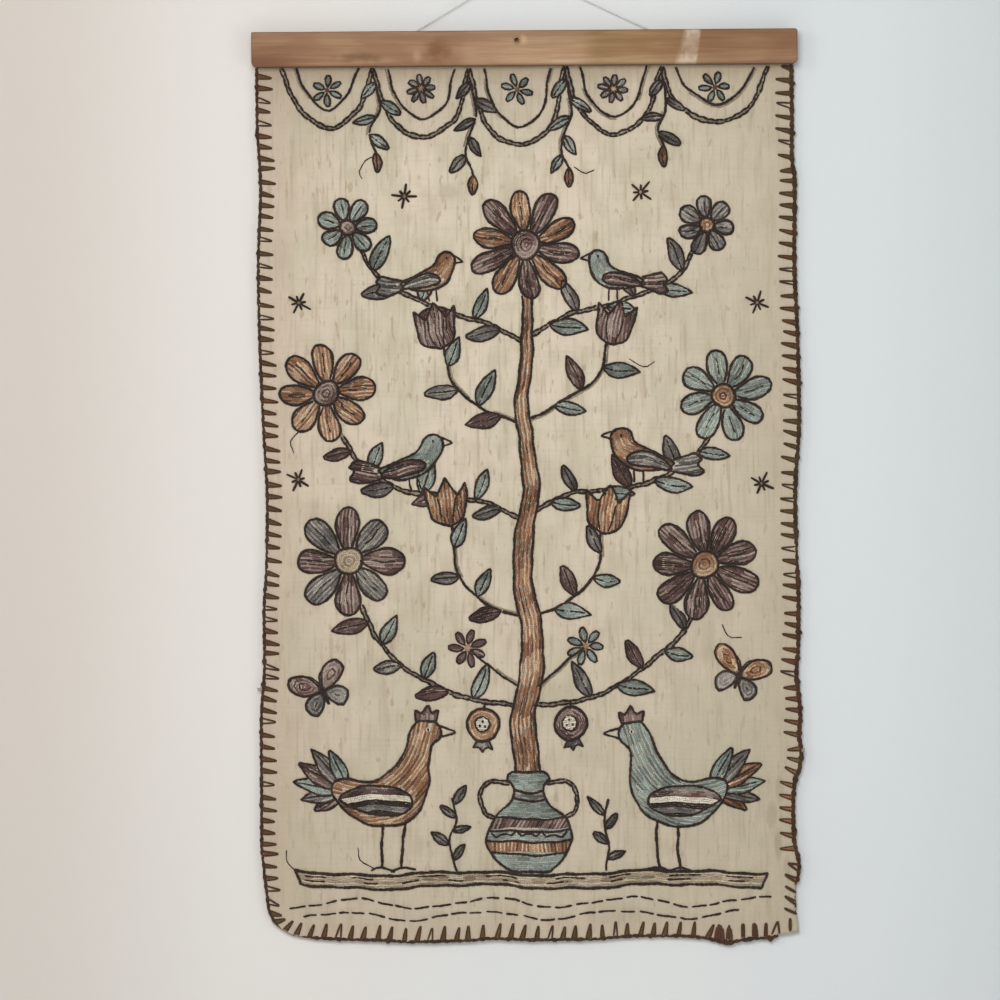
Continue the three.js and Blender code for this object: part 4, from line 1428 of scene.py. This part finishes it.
def make_cord(material):
    route = np.array(CORD_ROUTE) * MM
    data = bpy.data.curves.new("hanging_cord", "CURVE")
    data.dimensions = "3D"
    data.bevel_depth = CORD_DIAMETER * MM / 2
    data.bevel_resolution = 4
    line = data.splines.new("BEZIER")
    line.bezier_points.add(len(route) - 1)
    for point, at in zip(line.bezier_points, route):
        point.co = at
        point.handle_left_type = point.handle_right_type = "AUTO"
    line.resolution_u = 8
    data.use_fill_caps = True
    data.materials.append(material)
    piece = bpy.data.objects.new("hanging_cord", data)
    bpy.context.scene.collection.objects.link(piece)
    length = np.linalg.norm(np.diff(route, axis=0), axis=1).sum()
    return piece, route, length


def make_hitch(name, node, material):
    """The cord's end wound round a tack."""
    low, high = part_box(node)
    centre = np.array((low + high) / 2) / MM
    t = np.linspace(0, 1, HITCH_POINTS)
    angle = HITCH_TURNS * 2 * math.pi * t
    ring = HITCH_RING + 0.1 * np.sin(angle * 2.3)
    path = centre + np.stack([ring * np.cos(angle), (t - 0.5) * HITCH_WIDTH, ring * np.sin(angle)], 1)
    across = np.array([0.0, 1.0, 0.0])
    out = np.cross(units(np.gradient(path, axis=0)), across)
    points = []
    for k in range(HITCH_SIDES):
        a = 2 * math.pi * k / HITCH_SIDES
        points.append(path + (math.cos(a) * out + math.sin(a) * across) * HITCH_CORD)
    points = np.stack(points, 1).reshape(-1, 3)
    return make_mesh(name, points, tube_quads(HITCH_POINTS, HITCH_SIDES), material)


# Build the pieces

# The dark yarn is two pieces, above and below this many millimetres down
DARK_SPLIT = 500
# The piece and the slot of each thread
PIECES = {
    "dark": ("thread_dark", "thread_dark"),
    "core": ("thread_chain_core", "thread_pale"),
    "blue_grey": ("thread_blue_grey", "thread_blue_grey"),
    "grey": ("thread_grey", "thread_blue_grey"),
    "rust": ("thread_rust", "thread_rust"),
    "plum": ("thread_plum", "thread_plum"),
    "tan": ("thread_tan", "thread_pale"),
    "cream": ("thread_cream", "thread_pale"),
}

cord_look = cord_material()
cord, route, cord_length = make_cord(cord_look)
for side in ("left", "right"):
    hitch = make_hitch(f"cord_hitch_{side}", f"hitch_{side}", cord_look)
    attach(hitch, "root")
    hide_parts(f"hitch_{side}")
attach(cord, "root")
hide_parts("cord")

steel = steel_material()
for name in ("nail", "tack_left", "tack_right"):
    nodes[name].data.materials.clear()
    nodes[name].data.materials.append(steel)
nodes["batten"].data.materials.clear()
nodes["batten"].data.materials.append(wood_material())

cloth = make_cloth(cloth_material())
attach(cloth, "root")
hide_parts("cloth")

yarn = yarn_material("rim_yarn")
rolls, legs = make_rim(yarn)
for roll, node in zip(rolls, ("edging_left", "edging_right")):
    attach(roll, "root")
    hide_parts(node)
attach(legs, "root")

embroider()
wool = yarn_material("embroidery_wool")
for thread, (name, slot) in PIECES.items():
    rows = np.concatenate(sewn[thread])
    parts = {name: rows}
    if thread == "dark":
        upper = rows[:, 1] < DARK_SPLIT
        parts = {f"{name}_upper": rows[upper], f"{name}_lower": rows[~upper]}
    for part, some in parts.items():
        piece = stitch_mesh(part, some, wool, LINE_PROFILE if thread == "dark" else FILL_PROFILE)
        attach(piece, "root")


# Stage and lights

# The wall's face, half width and top, and the floor's place and half width, in millimetres
WALL_BEHIND = 1
WALL_REACH = 3000
WALL_TOP = 1500
FLOOR_DOWN = 1720
FLOOR_REACH = 4000
CORNERS = ((-1, -1), (1, -1), (1, 1), (-1, 1))


def make_stage():
    """A pale wall that only the camera sees, from the front, and a pale floor far below."""
    s = Shade("pale_wall", 0.95, specular=0.05)
    x, _, z = s.axes()
    # Painted light fall-off on the wall: darker and warmer to the left, cooler and darker to the right, a
    # little darker towards the bottom
    colour = s.coats(
        s.mix(s.level(x, -0.5, -0.24), (199, 192, 184), (214, 210, 206)),
        (s.level(x, -0.24, 0.0), (210, 212, 211)),
        (s.level(x, 0.1, 0.28), (203, 208, 210)),
        (s.level(x, 0.3, 0.5), (194, 200, 201)),
        (s.level(z, -1.0, -0.6, 0.15, 0.0), (192, 194, 195)),
    )
    wall_look = s.finish(colour, s.noise((60, 60, 60), 4.0), 0.0004)
    back = s.add("ShaderNodeNewGeometry").outputs["Backfacing"]
    clear_look = s.add("ShaderNodeBsdfTransparent").outputs[0]
    mixed = s.add("ShaderNodeMixShader", {0: back, 1: s.shader.outputs[0], 2: clear_look})
    s.feed(s.tree.nodes["Material Output"].inputs[0], mixed.outputs[0])
    points = [(a * WALL_REACH, WALL_BEHIND, WALL_TOP if b > 0 else -FLOOR_DOWN) for a, b in CORNERS]
    wall = make_mesh("wall", points, [(0, 1, 2, 3)], wall_look)
    wall.visible_diffuse = False
    wall.visible_glossy = False
    wall.visible_shadow = False
    wall.visible_transmission = False
    f = Shade("pale_floor", 0.9, specular=0.1)
    floor_look = f.finish(f.mix(f.noise((3, 3, 3), 4.0), (222, 220, 216), (230, 228, 225)))
    points = [(a * FLOOR_REACH, b * FLOOR_REACH, -FLOOR_DOWN) for a, b in CORNERS]
    make_mesh("floor", points, [(0, 1, 2, 3)], floor_look)


def area_light(name, at, aim, size, power, colour=(1, 1, 1)):
    data = bpy.data.lights.new(name, "AREA")
    data.shape = "DISK"
    data.size = size
    data.energy = power
    data.color = colour
    light = bpy.data.objects.new(name, data)
    light.location = at
    light.rotation_euler = (Vector(aim) - Vector(at)).to_track_quat("-Z", "Y").to_euler()
    bpy.context.scene.collection.objects.link(light)


def make_lights():
    world = bpy.data.worlds.new("soft_room")
    bpy.context.scene.world = world
    world.use_nodes = True
    background = world.node_tree.nodes["Background"]
    background.inputs[0].default_value = (0.97, 0.985, 1.0, 1.0)
    background.inputs[1].default_value = 0.34
    area_light("window", (-0.3, -3.4, 0.45), (0, 0, -0.45), 1.5, 73, (1.0, 0.99, 0.97))
    area_light("side", (-2.2, -2.6, 0.4), (0, 0, -0.5), 1.4, 16, (1.0, 0.98, 0.95))
    area_light("fill", (1.9, -2.6, -0.9), (0, 0, -0.6), 1.8, 13, (0.97, 0.985, 1.0))
    area_light("behind", (0.6, 2.4, 0.6), (0, 0, -0.5), 1.6, 32)


make_stage()
make_lights()
bpy.context.scene.view_settings.view_transform = "Standard"
